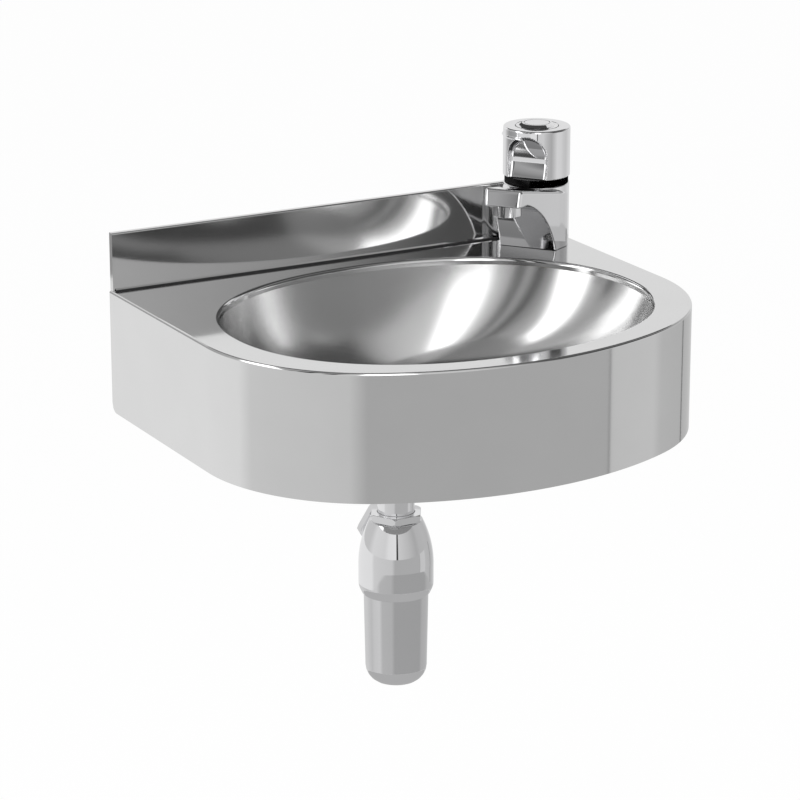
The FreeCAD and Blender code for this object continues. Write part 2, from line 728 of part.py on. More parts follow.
def make_tap_head():
    head = cylinder(head_radius, head_low, head_top)
    head = head.makeFillet(head_edge_radius, edges_at_height(head, head_top))
    web_top = spring_web()
    web_low = web_top - head_web
    head = head.cut(cylinder(button_radius + button_gap, button_well(), head_top + past))
    head = head.cut(cylinder(spring_radius + spring_wire + slip, web_top, button_well() + past))
    head = head.cut(cylinder(head_core_radius, head_low - past, web_low))
    head = head.cut(cylinder(stem_radius + snug, web_low - past, web_top + past))
    return placed_tap(head.cut(scoop_cutter()))


def make_mixing_stem():
    return placed_tap(collar(stem_radius, rod_radius + slip, stem_foot, spring_web()))


def make_push_button():
    low = head_top - button_thickness
    button = spindle([(0, low), (button_radius, low), (button_radius, head_top),
                      (button_face_radius, head_top + button_rise), (0, head_top + button_rise)])
    outer = button_face_radius - button_groove_inset
    groove = collar(outer, outer - button_groove_width, head_top + button_rise - button_groove_depth,
                    head_top + button_rise + past)
    return placed_tap(button.cut(groove))


def make_push_rod():
    low = stem_foot - slip - button_travel
    return placed_tap(cylinder(rod_radius, low, head_top - button_thickness))


def make_button_spring():
    """Coil of half rings that tilt to and fro, so that neighbours share their tangent."""
    low = spring_web() + spring_wire + snug
    high = head_top - button_thickness - spring_wire - snug
    half_turns = 2 * spring_turns
    climb = (high - low) / half_turns
    coil = []
    for i in range(half_turns):
        side = (-1) ** i
        start = V(side * spring_radius, 0, low + i * climb)
        section = Part.Face(Part.Wire([Part.makeCircle(spring_wire, start, V(0, 1, 0))]))
        centre = V(0, 0, start.z + climb / 2)
        coil.append(section.revolve(centre, V(side * climb, 0, 2 * spring_radius), 180))
    return placed_tap(coil[0].fuse(coil[1:]))


def make_aerator_housing():
    low = spout_end_low - aerator_drop
    at = V(aerator_from_axis, 0, 0)
    skirt = cylinder(aerator_radius, low, spout_end_low - snug, at)
    skirt = skirt.makeFillet(aerator_edge_radius, edges_at_height(skirt, low))
    neck = cylinder(aerator_neck_radius, spout_end_low - snug, spout_end_low + aerator_neck_height, at)
    bore = cylinder(aerator_bore_radius, low - past, spout_end_low + aerator_neck_height + past, at)
    return placed_tap(skirt.fuse(neck).cut(bore))


def make_aerator_insert():
    low = spout_end_low - aerator_drop + aerator_grille_recess
    high = low + aerator_grille_thickness
    at = V(aerator_from_axis, 0, 0)
    disc = cylinder(aerator_bore_radius - snug, low, high, at)
    return placed_tap(disc.cut(ring_of_holes(aerator_hole_radius, low, high,
                                             [(1, 0), (6, aerator_circle), (12, 2 * aerator_circle)], at)))


def make_aerator_seal():
    low = spout_end_low + aerator_neck_height + snug
    at = V(aerator_from_axis, 0, 0)
    return placed_tap(collar(aerator_neck_radius - snug, aerator_bore_radius - aerator_seal_lip,
                             low, low + aerator_seal_thickness, at))


PIECES = {
    "deck_and_apron": make_deck_and_apron,
    "bowl": make_bowl,
    "splashback": make_splashback,
    "rear_flange": make_rear_flange,
    "waste_strainer": make_waste_strainer,
    "waste_top_seal": make_waste_top_seal,
    "waste_lower_seal": make_waste_lower_seal,
    "waste_backnut": make_waste_backnut,
    "trap_coupling_washer": make_trap_coupling_washer,
    "trap_coupling_nut": make_trap_coupling_nut,
    "trap_inlet_tube": make_trap_inlet_tube,
    "trap_inlet_nut": make_trap_inlet_nut,
    "trap_inlet_seal": make_trap_inlet_seal,
    "trap_body": make_trap_body,
    "trap_cup_seal": make_trap_cup_seal,
    "trap_cup": make_trap_cup,
    "trap_outlet_nut": make_trap_outlet_nut,
    "trap_outlet_seal": make_trap_outlet_seal,
    "tap_body": make_tap_body,
    "base_gasket": make_base_gasket,
    "tap_shank": make_tap_shank,
    "tap_rubber_washer": make_tap_rubber_washer,
    "tap_clamp_washer": make_tap_clamp_washer,
    "tap_fixing_nut": make_tap_fixing_nut,
    "temperature_ring": make_temperature_ring,
    "tap_cartridge": make_tap_cartridge,
    "cartridge_nut": make_cartridge_nut,
    "tap_head": make_tap_head,
    "mixing_stem": make_mixing_stem,
    "push_button": make_push_button,
    "push_rod": make_push_rod,
    "button_spring": make_button_spring,
    "aerator_housing": make_aerator_housing,
    "aerator_insert": make_aerator_insert,
    "aerator_seal": make_aerator_seal,
}


def write_pieces():
    """Build each piece, lift it to the origin and write it to its own file."""
    os.makedirs("parts", exist_ok=True)
    for name, make in PIECES.items():
        shape = make().translated(V(0, 0, deck_above_origin))
        box = shape.BoundBox
        print(f"{name:22s} solids {len(shape.Solids)} valid {shape.isValid()} volume {shape.Volume:10.1f} "
              f"x {box.XMin:.1f}..{box.XMax:.1f} y {box.YMin:.1f}..{box.YMax:.1f} "
              f"z {box.ZMin:.1f}..{box.ZMax:.1f}")
        shape.exportStep(f"parts/{name}.step")


write_pieces()
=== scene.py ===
"""Looks of a wall-hung stainless hand wash basin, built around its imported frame.

Shapes are drawn in millimetres in the basin's own axes: X runs along the wall to the right, Y into
the wall and Z up from the top of the deck. Work.lift carries them into the shared frame, in metres,
and Work.place does so for what is drawn about an upright axis of its own.
"""

import json
import logging
import math
from dataclasses import dataclass, field
from enum import Enum
from typing import Any, Callable, Sequence

import bpy
import numpy as np
from mathutils import Matrix, Vector

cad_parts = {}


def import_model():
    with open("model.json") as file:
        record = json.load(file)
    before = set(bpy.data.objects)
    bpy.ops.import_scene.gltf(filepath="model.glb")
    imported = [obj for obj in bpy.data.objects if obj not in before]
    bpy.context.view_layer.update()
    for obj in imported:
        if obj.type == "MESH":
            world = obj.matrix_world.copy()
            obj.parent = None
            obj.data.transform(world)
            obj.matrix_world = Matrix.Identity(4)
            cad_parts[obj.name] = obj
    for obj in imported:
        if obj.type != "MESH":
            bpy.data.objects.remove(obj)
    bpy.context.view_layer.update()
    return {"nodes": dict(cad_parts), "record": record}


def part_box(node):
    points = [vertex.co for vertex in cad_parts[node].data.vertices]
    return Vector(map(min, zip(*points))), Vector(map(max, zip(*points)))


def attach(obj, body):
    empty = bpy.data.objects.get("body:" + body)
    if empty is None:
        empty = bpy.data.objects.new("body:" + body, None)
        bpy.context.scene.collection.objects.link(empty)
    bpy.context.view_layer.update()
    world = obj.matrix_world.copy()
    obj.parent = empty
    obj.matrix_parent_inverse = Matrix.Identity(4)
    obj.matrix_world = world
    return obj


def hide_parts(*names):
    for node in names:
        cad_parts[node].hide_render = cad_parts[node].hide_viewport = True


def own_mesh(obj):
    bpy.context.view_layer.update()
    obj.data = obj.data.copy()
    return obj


LOG = logging.getLogger("basin")
MM = 0.001
TINY = 1e-9
Array = np.ndarray
Field = Callable[[Array], Array]


# ---------------------------------------------------------------- shader expressions
class Value:
    """A number that a shader works out: an output socket that takes part in sums."""

    def __init__(self, shader: "Shader", socket: bpy.types.NodeSocket) -> None:
        self.shader = shader
        self.socket = socket

    def _sum(self, operation: str, first: "Value | float", second: "Value | float") -> "Value":
        """Adds one Math node."""
        return self.shader.node("ShaderNodeMath", {"operation": operation}, {0: first, 1: second})[0]

    def __add__(self, other: "Value | float") -> "Value":
        """Sum."""
        return self._sum("ADD", self, other)

    def __radd__(self, other: "Value | float") -> "Value":
        """Sum, from the right."""
        return self._sum("ADD", other, self)

    def __sub__(self, other: "Value | float") -> "Value":
        """Difference."""
        return self._sum("SUBTRACT", self, other)

    def __rsub__(self, other: "Value | float") -> "Value":
        """Difference, from the right."""
        return self._sum("SUBTRACT", other, self)

    def __mul__(self, other: "Value | float") -> "Value":
        """Product."""
        return self._sum("MULTIPLY", self, other)

    def __rmul__(self, other: "Value | float") -> "Value":
        """Product, from the right."""
        return self._sum("MULTIPLY", other, self)

    def between(self, low: float, high: float) -> "Value":
        """0 below low, 1 above high and a straight ramp in between."""
        settings = {"clamp": True}
        inputs = {"Value": self, "From Min": low, "From Max": high}
        return self.shader.node("ShaderNodeMapRange", settings, inputs)[0]


class Outputs:
    """The outputs of one node, by name or number."""

    def __init__(self, shader: "Shader", node: bpy.types.Node) -> None:
        self.shader = shader
        self.node = node

    def __getitem__(self, key: Any) -> Value:
        """One output as a value."""
        return Value(self.shader, self.node.outputs[key])


class Shader:
    """The nodes of a material or a world under construction, with one maker for all of them."""

    NOISE_ROUGHNESS = 0.55

    def __init__(self, owner: bpy.types.Material | bpy.types.World) -> None:
        self.owner = owner
        owner.use_nodes = True
        self.tree = owner.node_tree
        self.tree.nodes.clear()
        kind = "World" if isinstance(owner, bpy.types.World) else "Material"
        self.output = self.tree.nodes.new("ShaderNodeOutput" + kind)

    @classmethod
    def named(cls, name: str) -> "Shader":
        """Starts a new material."""
        return cls(bpy.data.materials.new(name))

    def node(self, kind: str, settings: dict[str, Any] | None = None,
             inputs: dict[Any, Any] | None = None) -> Outputs:
        """Makes a node.

        Args:
            kind: Blender's name of the node type.
            settings: Properties of the node, set before its sockets.
            inputs: Values or links for the sockets, by name or number.

        Returns:
            The node's outputs.
        """
        made = self.tree.nodes.new(kind)
        for key, setting in (settings or {}).items():
            setattr(made, key, setting)
        for key, value in (inputs or {}).items():
            if isinstance(value, Value):
                self.tree.links.new(value.socket, made.inputs[key])
            else:
                made.inputs[key].default_value = value
        return Outputs(self, made)

    def show(self, surface: Value) -> None:
        """Connects a surface or a background to the output."""
        self.tree.links.new(surface.socket, self.output.inputs["Surface"])

    def surface(self, **sockets: Any) -> Value:
        """Makes the main surface node; an underscore stands for a space in a socket's name."""
        named = {key.replace("_", " "): value for key, value in sockets.items()}
        return self.node("ShaderNodeBsdfPrincipled", {}, named)[0]

    def glow(self, colour: "Value | tuple[float, ...]", strength: float = 1.0) -> Value:
        """Makes a surface that shines by itself."""
        return self.node("ShaderNodeEmission", {}, {"Color": colour, "Strength": strength})[0]

    def place(self, stretch: Sequence[float] = (1.0, 1.0, 1.0)) -> Value:
        """A point's place on the object in metres, stretched along the three axes."""
        spot = self.node("ShaderNodeTexCoord")["Object"]
        return self.node("ShaderNodeVectorMath", {"operation": "MULTIPLY"}, {0: spot, 1: tuple(stretch)})[0]

    def noise(self, place: Value, scale: float, detail: float = 2.0) -> Value:
        """Soft noise from 0 to 1; scale is in waves per metre."""
        inputs = {"Vector": place, "Scale": scale, "Detail": detail, "Roughness": self.NOISE_ROUGHNESS}
        return self.node("ShaderNodeTexNoise", {}, inputs)["Fac"]

    def bump(self, height: Value, depth: float, below: Value | None = None) -> Value:
        """Relief of a given depth in metres over another relief."""
        inputs: dict[Any, Any] = {"Strength": 1.0, "Distance": depth, "Height": height}
        if below is not None:
            inputs["Normal"] = below
        return self.node("ShaderNodeBump", {}, inputs)["Normal"]


# ---------------------------------------------------------------- finishes
@dataclass(frozen=True)
class Metal:
    """A bare or plated metal. Depths are in millimetres and scales in waves per metre.

    Attributes:
        colour: Reflected colour, linear.
        roughness: Mean roughness.
        mottle: How far the roughness wanders.
        grain: Depth of the fine lines left by brushing or polishing.
        grain_run: Stretch along X, Y and Z; a small number runs the lines along that axis.
        grain_scale: How close the lines lie.
        wave: Depth of the sheet's slow unevenness, which bends what it mirrors.
        wave_run: Stretch of the unevenness along X, Y and Z.
        wave_scale: How close its waves lie.
        stain: How far faint stains lighten or darken the colour.
        stain_scale: How close the stains lie.
    """
    colour: tuple[float, float, float]
    roughness: float
    mottle: float = 0.02
    grain: float = 0.0
    grain_run: tuple[float, float, float] = (1.0, 1.0, 1.0)
    grain_scale: float = 900.0
    wave: float = 0.0
    wave_run: tuple[float, float, float] = (1.0, 1.0, 0.45)
    wave_scale: float = 14.0
    stain: float = 0.06
    stain_scale: float = 22.0

    def material(self, name: str) -> bpy.types.Material:
        """Builds the material.

        Args:
            name: The finish's name.

        Returns:
            The material.
        """
        shader = Shader.named(name)
        lines = shader.noise(shader.place(self.grain_run), self.grain_scale, detail=3.0)
        stains = shader.noise(shader.place(), self.stain_scale, detail=4.0)
        roughness = self.roughness + (lines - 0.5) * self.mottle + (stains - 0.5) * self.mottle
        shade = 1.0 - self.stain / 2 + stains * self.stain
        colour = shader.node("ShaderNodeMix", {"data_type": "RGBA", "blend_type": "MULTIPLY"},
                             {"Factor": 1.0, 6: (*self.colour, 1.0), 7: shade})
        sockets: dict[str, Any] = {"Base_Color": colour[2], "Metallic": 1.0, "Roughness": roughness}
        relief = None
        if self.wave:
            unevenness = shader.noise(shader.place(self.wave_run), self.wave_scale, detail=1.0)
            relief = shader.bump(unevenness, self.wave * MM)
        if self.grain:
            relief = shader.bump(lines, self.grain * MM, relief)
        if relief is not None:
            sockets["Normal"] = relief
        shader.show(shader.surface(**sockets))
        return shader.owner


@dataclass(frozen=True)
class Moulding:
    """A moulded plastic or rubber. Depths are in millimetres and scales in waves per metre.

    Attributes:
        colour: Colour, linear.
        roughness: Mean roughness.
        pebble: Depth of the mould's fine texture.
        pebble_scale: How close its spots lie.
        handling: How far marks of handling make the roughness wander.
        handling_scale: How close those marks lie.
    """
    colour: tuple[float, float, float]
    roughness: float
    pebble: float = 0.01
    pebble_scale: float = 1800.0
    handling: float = 0.12
    handling_scale: float = 90.0

    def material(self, name: str) -> bpy.types.Material:
        """Builds the material.

        Args:
            name: The finish's name.

        Returns:
            The material.
        """
        shader = Shader.named(name)
        spots = shader.noise(shader.place(), self.pebble_scale, detail=2.0)
        marks = shader.noise(shader.place(), self.handling_scale, detail=3.0)
        shader.show(shader.surface(Base_Color=(*self.colour, 1.0),
                                   Roughness=self.roughness + (marks - 0.5) * self.handling,
                                   Normal=shader.bump(spots, self.pebble * MM)))
        return shader.owner


class Finish(Enum):
    """Every finish on the basin, by the name of its slot in the record."""
    polished_steel = Metal((0.80, 0.80, 0.80), 0.075, mottle=0.03, grain=0.0004, grain_run=(0.06, 0.06, 1.0),
                           grain_scale=1500.0, wave=0.10, wave_scale=11.0)
    satin_steel = Metal((0.72, 0.72, 0.72), 0.19, mottle=0.03, grain=0.0006, grain_run=(0.05, 0.3, 1.0),
                        grain_scale=1600.0)
    plain_steel = Metal((0.60, 0.60, 0.61), 0.33, mottle=0.06, grain=0.002)
    chrome = Metal((0.86, 0.86, 0.87), 0.035, mottle=0.015)
    brass = Metal((0.74, 0.58, 0.30), 0.28, mottle=0.08, grain=0.003, grain_run=(0.2, 0.2, 1.0))
    rubber = Moulding((0.022, 0.022, 0.023), 0.62, pebble=0.02)
    black_plastic = Moulding((0.012, 0.012, 0.013), 0.22, pebble=0.004)
    white_plastic = Moulding((0.74, 0.74, 0.72), 0.42, pebble=0.006)

    def material(self) -> bpy.types.Material:
        """This finish's material, built once."""
        name = "finish_" + self.name
        return bpy.data.materials.get(name) or self.value.material(name)


# ---------------------------------------------------------------- meshes from grids
class Patchwork:
    """Joins curved grids into one mesh and keeps the exact normals that each grid was made with."""

    def __init__(self) -> None:
        self.points: list[Array] = []
        self.normals: list[Array] = []
        self.quads: list[Array] = []
        self.count = 0

    def grid(self, points: Array, normals: Array | Sequence[float], closed: bool = False) -> None:
        """Adds a grid.

        Args:
            points: Rows by columns by 3, in millimetres.
            normals: Outward normals: one for each point, one for each column or a single one.
            closed: Joins the last column to the first.
        """
        normals = np.broadcast_to(np.asarray(normals, float), points.shape)
        if closed:
            points = np.concatenate([points, points[:, :1]], axis=1)
            normals = np.concatenate([normals, normals[:, :1]], axis=1)
        rows, columns = points.shape[:2]
        index = self.count + np.arange(rows * columns).reshape(rows, columns)
        quads = np.stack([index[:-1, :-1], index[1:, :-1], index[1:, 1:], index[:-1, 1:]], axis=-1)
        across = np.cross(points[1:, 1:] - points[:-1, :-1], points[:-1, 1:] - points[1:, :-1])
        outward = normals[:-1, :-1] + normals[1:, 1:] + normals[1:, :-1] + normals[:-1, 1:]
        inward = (across * outward).sum(axis=-1) < 0
        quads = np.where(inward[..., None], quads[..., ::-1], quads)
        self.points.append(points.reshape(-1, 3))
        self.normals.append(normals.reshape(-1, 3))
        self.quads.append(quads.reshape(-1, 4))
        self.count += rows * columns

    def strip(self, first: Array, second: Array, normals: Array | Sequence[float],
              closed: bool = False) -> None:
        """Adds one row of faces between two lines of points."""
        self.grid(np.stack([first, second]), normals, closed)

    def mesh(self, name: str, lift: Callable[[Array], Array]) -> bpy.types.Mesh:
        """Makes the mesh.

        Args:
            name: The mesh's name.
            lift: Carries millimetres into the shared frame.

        Returns:
            A smooth mesh with its own corner normals.
        """
        points = np.concatenate(self.points)
        normals = np.concatenate(self.normals)
        corners = np.concatenate(self.quads)
        _, first, merged = np.unique(np.round(points, 3), axis=0, return_index=True, return_inverse=True)
        merged = merged.reshape(-1)
        faces = []
        corner_normals = []
        for quad in corners.tolist():
            kept = []
            for corner in quad:
                if merged[corner] not in [merged[other] for other in kept]:
                    kept.append(corner)
            if len(kept) > 2:
                faces.append([int(merged[corner]) for corner in kept])
                corner_normals.extend(normals[corner].tolist() for corner in kept)
        mesh = bpy.data.meshes.new(name)
        mesh.from_pydata(lift(points[first]).tolist(), [], faces)
        mesh.shade_smooth()
        mesh.normals_split_custom_set(corner_normals)
        return mesh


class Profile:
    """Outline of a turned piece: (radius, height) corners, each with its rounding."""

    ARC_STEPS = 7

    def __init__(self, corners: Sequence[tuple[float, float, float]], closed: bool = False) -> None:
        self.corners = [np.array(corner[:2], float) for corner in corners]
        self.roundings = [corner[2] for corner in corners]
        self.closed = closed

    def runs(self) -> list[tuple[Array, Array]]:
        """Lines and arcs of the outline, each as its points and its outward normals.

        The outline runs with the solid on its left, so the outward normal is to the right.

        Returns:
            A list of (points, normals).
        """
        total = len(self.corners)
        made: list[tuple[Array, Array]] = []
        last_end = None
        for place in range(total + int(self.closed)):
            corner = self.corners[place % total]
            arc = self._arc(place % total)
            entry, leave = (arc[0][0], arc[0][-1]) if arc else (corner, corner)
            if last_end is not None:
                heading = self._heading(last_end, entry)
                normal = np.array([heading[1], -heading[0]])
                made.append((np.stack([last_end, entry]), np.stack([normal, normal])))
            if arc and place < total:
                made.append(arc)
            last_end = leave
        return made

    def _arc(self, i: int) -> tuple[Array, Array] | None:
        """Points and normals of a corner's rounding, or None where the corner is sharp or an end."""
        total = len(self.corners)
        corner, rounding = self.corners[i], self.roundings[i]
        if not rounding or not (self.closed or 0 < i < total - 1):
            return None
        before = self._heading(self.corners[i - 1], corner)
        after = self._heading(corner, self.corners[(i + 1) % total])
        turn = math.atan2(before[0] * after[1] - before[1] * after[0], float(before @ after))
        side = math.copysign(1.0, turn)
        start = corner - before * rounding * math.tan(abs(turn) / 2)
        centre = start + side * rounding * np.array([-before[1], before[0]])
        x, y = start - centre
        cos, sin = (part(np.linspace(0.0, turn, self.ARC_STEPS)) for part in (np.cos, np.sin))
        spokes = np.stack([x * cos - y * sin, x * sin + y * cos], axis=-1)
        return centre + spokes, side * spokes / rounding

    @staticmethod
    def _heading(start: Array, end: Array) -> Array:
        """Unit direction from one point to another."""
        step = end - start
        return step / max(float(np.hypot(*step)), TINY)


def turned(patchwork: Patchwork, profile: Profile, centre: tuple[float, float] = (0.0, 0.0),
           steps: int = 128) -> None:
    """Turns a profile about an upright axis.

    Args:
        patchwork: Takes the faces.
        profile: The outline.
        centre: The axis, in the plan.
        steps: Faces round the axis.
    """
    angles = np.linspace(0.0, 2 * math.pi, steps, endpoint=False)
    cos, sin = np.cos(angles), np.sin(angles)
    for points, normals in profile.runs():
        radius, height = points[:, :1], points[:, 1:]
        out, up = normals[:, :1], normals[:, 1:]
        shape = (len(points), steps)
        ring = np.stack([centre[0] + radius * cos, centre[1] + radius * sin,
                         np.broadcast_to(height, shape)], axis=-1)
        facing = np.stack([out * cos, out * sin, np.broadcast_to(up, shape)], axis=-1)
        patchwork.grid(ring, facing, closed=True)


def at_height(plan: Array, height: float | Array) -> Array:
    """Points or directions of the plan, raised to one height or to one for each."""
    return np.column_stack([plan, np.full(len(plan), height)])


# ---------------------------------------------------------------- meshes from distances
def both(first: Array, second: Array, rounding: float) -> Array:
    """Distance to what two solids share, with the edge between them rounded."""
    flat = np.minimum(np.maximum(first, second), -rounding)
    return flat + np.hypot(np.maximum(first + rounding, 0.0), np.maximum(second + rounding, 0.0))


def either(first: Array, second: Array, rounding: float) -> Array:
    """Distance to two solids together, with a fillet between them."""
    return -both(-first, -second, rounding)


def without(solid: Array, cutter: Array, rounding: float) -> Array:
    """Distance to a solid less a cutter, with the cut's edge rounded."""
    return both(solid, -cutter, rounding)


def about_axis(points: Array) -> tuple[Array, Array, Array, Array]:
    """The three coordinates of points and their distance from the upright axis."""
    x, y, z = np.moveaxis(points, -1, 0)
    return x, y, z, np.hypot(x, y)


def bar(radius: float, low: float, high: float, rounding: float, across: Array, along: Array) -> Array:
    """Distance to a round bar, from a point's distance to its axis and its height along it."""
    ends = np.maximum(low - along, along - high)
    return both(across - radius, ends, rounding)


class Carving:
    """Meshes a solid that is given as a distance and takes its normals from the distance."""

    NUDGE = 0.02
    PULLS = 4
    MARGIN = 1.5
    LEAST_SLOPE = 0.2

    def __init__(self, distance: Field, low: Sequence[float], high: Sequence[float], step: float) -> None:
        self.distance = distance
        self.step = step
        self.axes = [np.arange(start - self.MARGIN * step, end + (self.MARGIN + 1) * step, step)
                     for start, end in zip(low, high)]

    def gradient(self, points: Array) -> Array:
        """Direction in which the distance grows, by differences."""
        slopes = []
        for axis in range(3):
            shift = np.zeros(3)
            shift[axis] = self.NUDGE
            slopes.append((self.distance(points + shift) - self.distance(points - shift)) / (2 * self.NUDGE))
        return np.stack(slopes, axis=-1)

    def surface(self) -> tuple[Array, Array, Array]:
        """Finds the surface.

        Returns:
            Its points, their normals and its four-cornered faces.
        """
        nodes = np.stack(np.meshgrid(*self.axes, indexing="ij"), axis=-1)
        values = self.distance(nodes)
        cells = tuple(size - 1 for size in values.shape)
        total = np.zeros(cells + (3,))
        count = np.zeros(cells)
        crossings = []
        for axis in range(3):
            near = [slice(None)] * 3
            far = [slice(None)] * 3
            near[axis] = slice(None, -1)
            far[axis] = slice(1, None)
            start, end = values[tuple(near)], values[tuple(far)]
            crossed = (start < 0) != (end < 0)
            where = np.argwhere(crossed)
            share = start[crossed] / (start[crossed] - end[crossed])
            spot = nodes[tuple(near)][crossed]
            spot[:, axis] += share * self.step
            crossings.append((axis, where, start[crossed] < 0))
            others = [other for other in range(3) if other != axis]
            for first in (0, -1):
                for second in (0, -1):
                    cell = where.copy()
                    cell[:, others[0]] += first
                    cell[:, others[1]] += second
                    fits = np.all((cell >= 0) & (cell < cells), axis=1)
                    key = tuple(cell[fits].T)
                    np.add.at(total, key, spot[fits])
                    np.add.at(count, key, 1)
        used = count > 0
        index = np.full(cells, -1)
        index[used] = np.arange(int(used.sum()))
        points = total[used] / count[used][:, None]
        for _ in range(self.PULLS):
            slope = self.gradient(points)
            size = np.maximum((slope ** 2).sum(axis=1), self.LEAST_SLOPE)
            pull = (self.distance(points) / size)[:, None] * slope
            points = points - np.clip(pull, -self.step / 2, self.step / 2)
        normals = self.gradient(points)
        normals /= np.maximum(np.linalg.norm(normals, axis=1), TINY)[:, None]
        return points, normals, self._faces(crossings, index)

    @staticmethod
    def _faces(crossings: list[tuple[int, Array, Array]], index: Array) -> Array:
        """One face for each grid edge that the surface crosses, wound to face outward."""
        faces = []
        for axis, where, inside_first in crossings:
            others = [(axis + 1) % 3, (axis + 2) % 3]
            corners = []
            for first, second in ((-1, -1), (0, -1), (0, 0), (-1, 0)):
                cell = where.copy()
                cell[:, others[0]] += first
                cell[:, others[1]] += second
                corners.append(index[tuple(cell.T)])
            quad = np.stack(corners, axis=1)
            faces.append(np.where(inside_first[:, None], quad, quad[:, ::-1]))
        return np.concatenate(faces)

    def mesh(self, name: str, lift: Callable[[Array], Array], turn: float = 0.0) -> bpy.types.Mesh:
        """Makes the mesh.

        Args:
            name: The mesh's name.
            lift: Carries millimetres into the shared frame.
            turn: Angle by which lift turns the piece about Z, for its normals.

        Returns:
            A smooth mesh with its own normals.
        """
        points, normals, faces = self.surface()
        cos, sin = math.cos(turn), math.sin(turn)
        facing = np.stack([normals[:, 0] * cos - normals[:, 1] * sin,
                           normals[:, 0] * sin + normals[:, 1] * cos, normals[:, 2]], axis=1)
        mesh = bpy.data.meshes.new(name)
        mesh.from_pydata(lift(points).tolist(), [], faces.tolist())
        mesh.shade_smooth()
        mesh.normals_split_custom_set_from_vertices(facing.tolist())
        return mesh


# ---------------------------------------------------------------- shared frame
@dataclass
class Work:
    """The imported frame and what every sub-assembly needs from it.

    Attributes:
        nodes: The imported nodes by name.
        record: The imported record.
        replaced: The nodes that a new piece stands for, noted as the pieces are made.
        deck: Height of the deck's top in the shared frame, in millimetres.
    """
    nodes: dict[str, bpy.types.Object]
    record: dict[str, Any]
    replaced: set[str] = field(init=False, default_factory=set)
    deck: float = field(init=False)

    def __post_init__(self) -> None:
        self.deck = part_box("deck_and_apron")[1][2] / MM

    def lift(self, points: Array) -> Array:
        """Millimetres from the deck's top to metres in the shared frame."""
        return (points + np.array([0.0, 0.0, self.deck])) * MM

    def place(self, points: Array, axis: tuple[float, float], turn: float = 0.0) -> Array:
        """Carries what is drawn about an upright axis of its own into the shared frame.

        Args:
            points: Places from the axis and the deck's top, in millimetres.
            axis: Where the axis stands in the plan.
            turn: Angle by which the drawing is turned about it.

        Returns:
            The places in the shared frame, in metres.
        """
        x, y, z = np.moveaxis(points, -1, 0)
        cos, sin = math.cos(turn), math.sin(turn)
        return self.lift(np.stack([x * cos - y * sin + axis[0], x * sin + y * cos + axis[1], z], axis=-1))

    def centre(self, node: str) -> tuple[float, float]:
        """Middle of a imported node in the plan, in millimetres."""
        low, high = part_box(node)
        return (low[0] + high[0]) / 2 / MM, (low[1] + high[1]) / 2 / MM

    def body_of(self, node: str) -> str:
        """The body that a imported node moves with."""
        bodies = self.record["behaviour"]["bodies"]
        return next(body for body, members in bodies.items() if node in members)

    def finish_of(self, node: str) -> Finish:
        """The finish that the record gives a node."""
        rows = self.record["subparts"]
        return next(Finish[row["material_slot"]] for row in rows if row["node"] == node)

    def add(self, mesh: bpy.types.Mesh, node: str, finish: Finish) -> bpy.types.Object:
        """Adds a piece in a finish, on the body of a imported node."""
        piece = bpy.data.objects.new(mesh.name, mesh)
        bpy.context.collection.objects.link(piece)
        mesh.materials.append(finish.material())
        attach(piece, self.body_of(node))
        return piece

    def stand_in(self, mesh: bpy.types.Mesh, node: str) -> bpy.types.Object:
        """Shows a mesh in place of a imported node, on the same body and in the same finish.

        Args:
            mesh: The new mesh.
            node: The node that it stands for.

        Returns:
            The new object.
        """
        finish = self.finish_of(node)
        piece = self.add(mesh, node, finish)
        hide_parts(node)
        self.replaced.add(node)
        LOG.info("%s stands for %s: %d faces, %s", piece.name, node, len(mesh.polygons), finish.name)
        return piece

    def dress(self, node: str) -> None:
        """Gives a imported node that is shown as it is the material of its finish."""
        finish = self.finish_of(node)
        mesh = self.nodes[node].data
        mesh.materials.clear()
        mesh.materials.append(finish.material())
        LOG.info("%s keeps its packed shape: %s", node, finish.name)


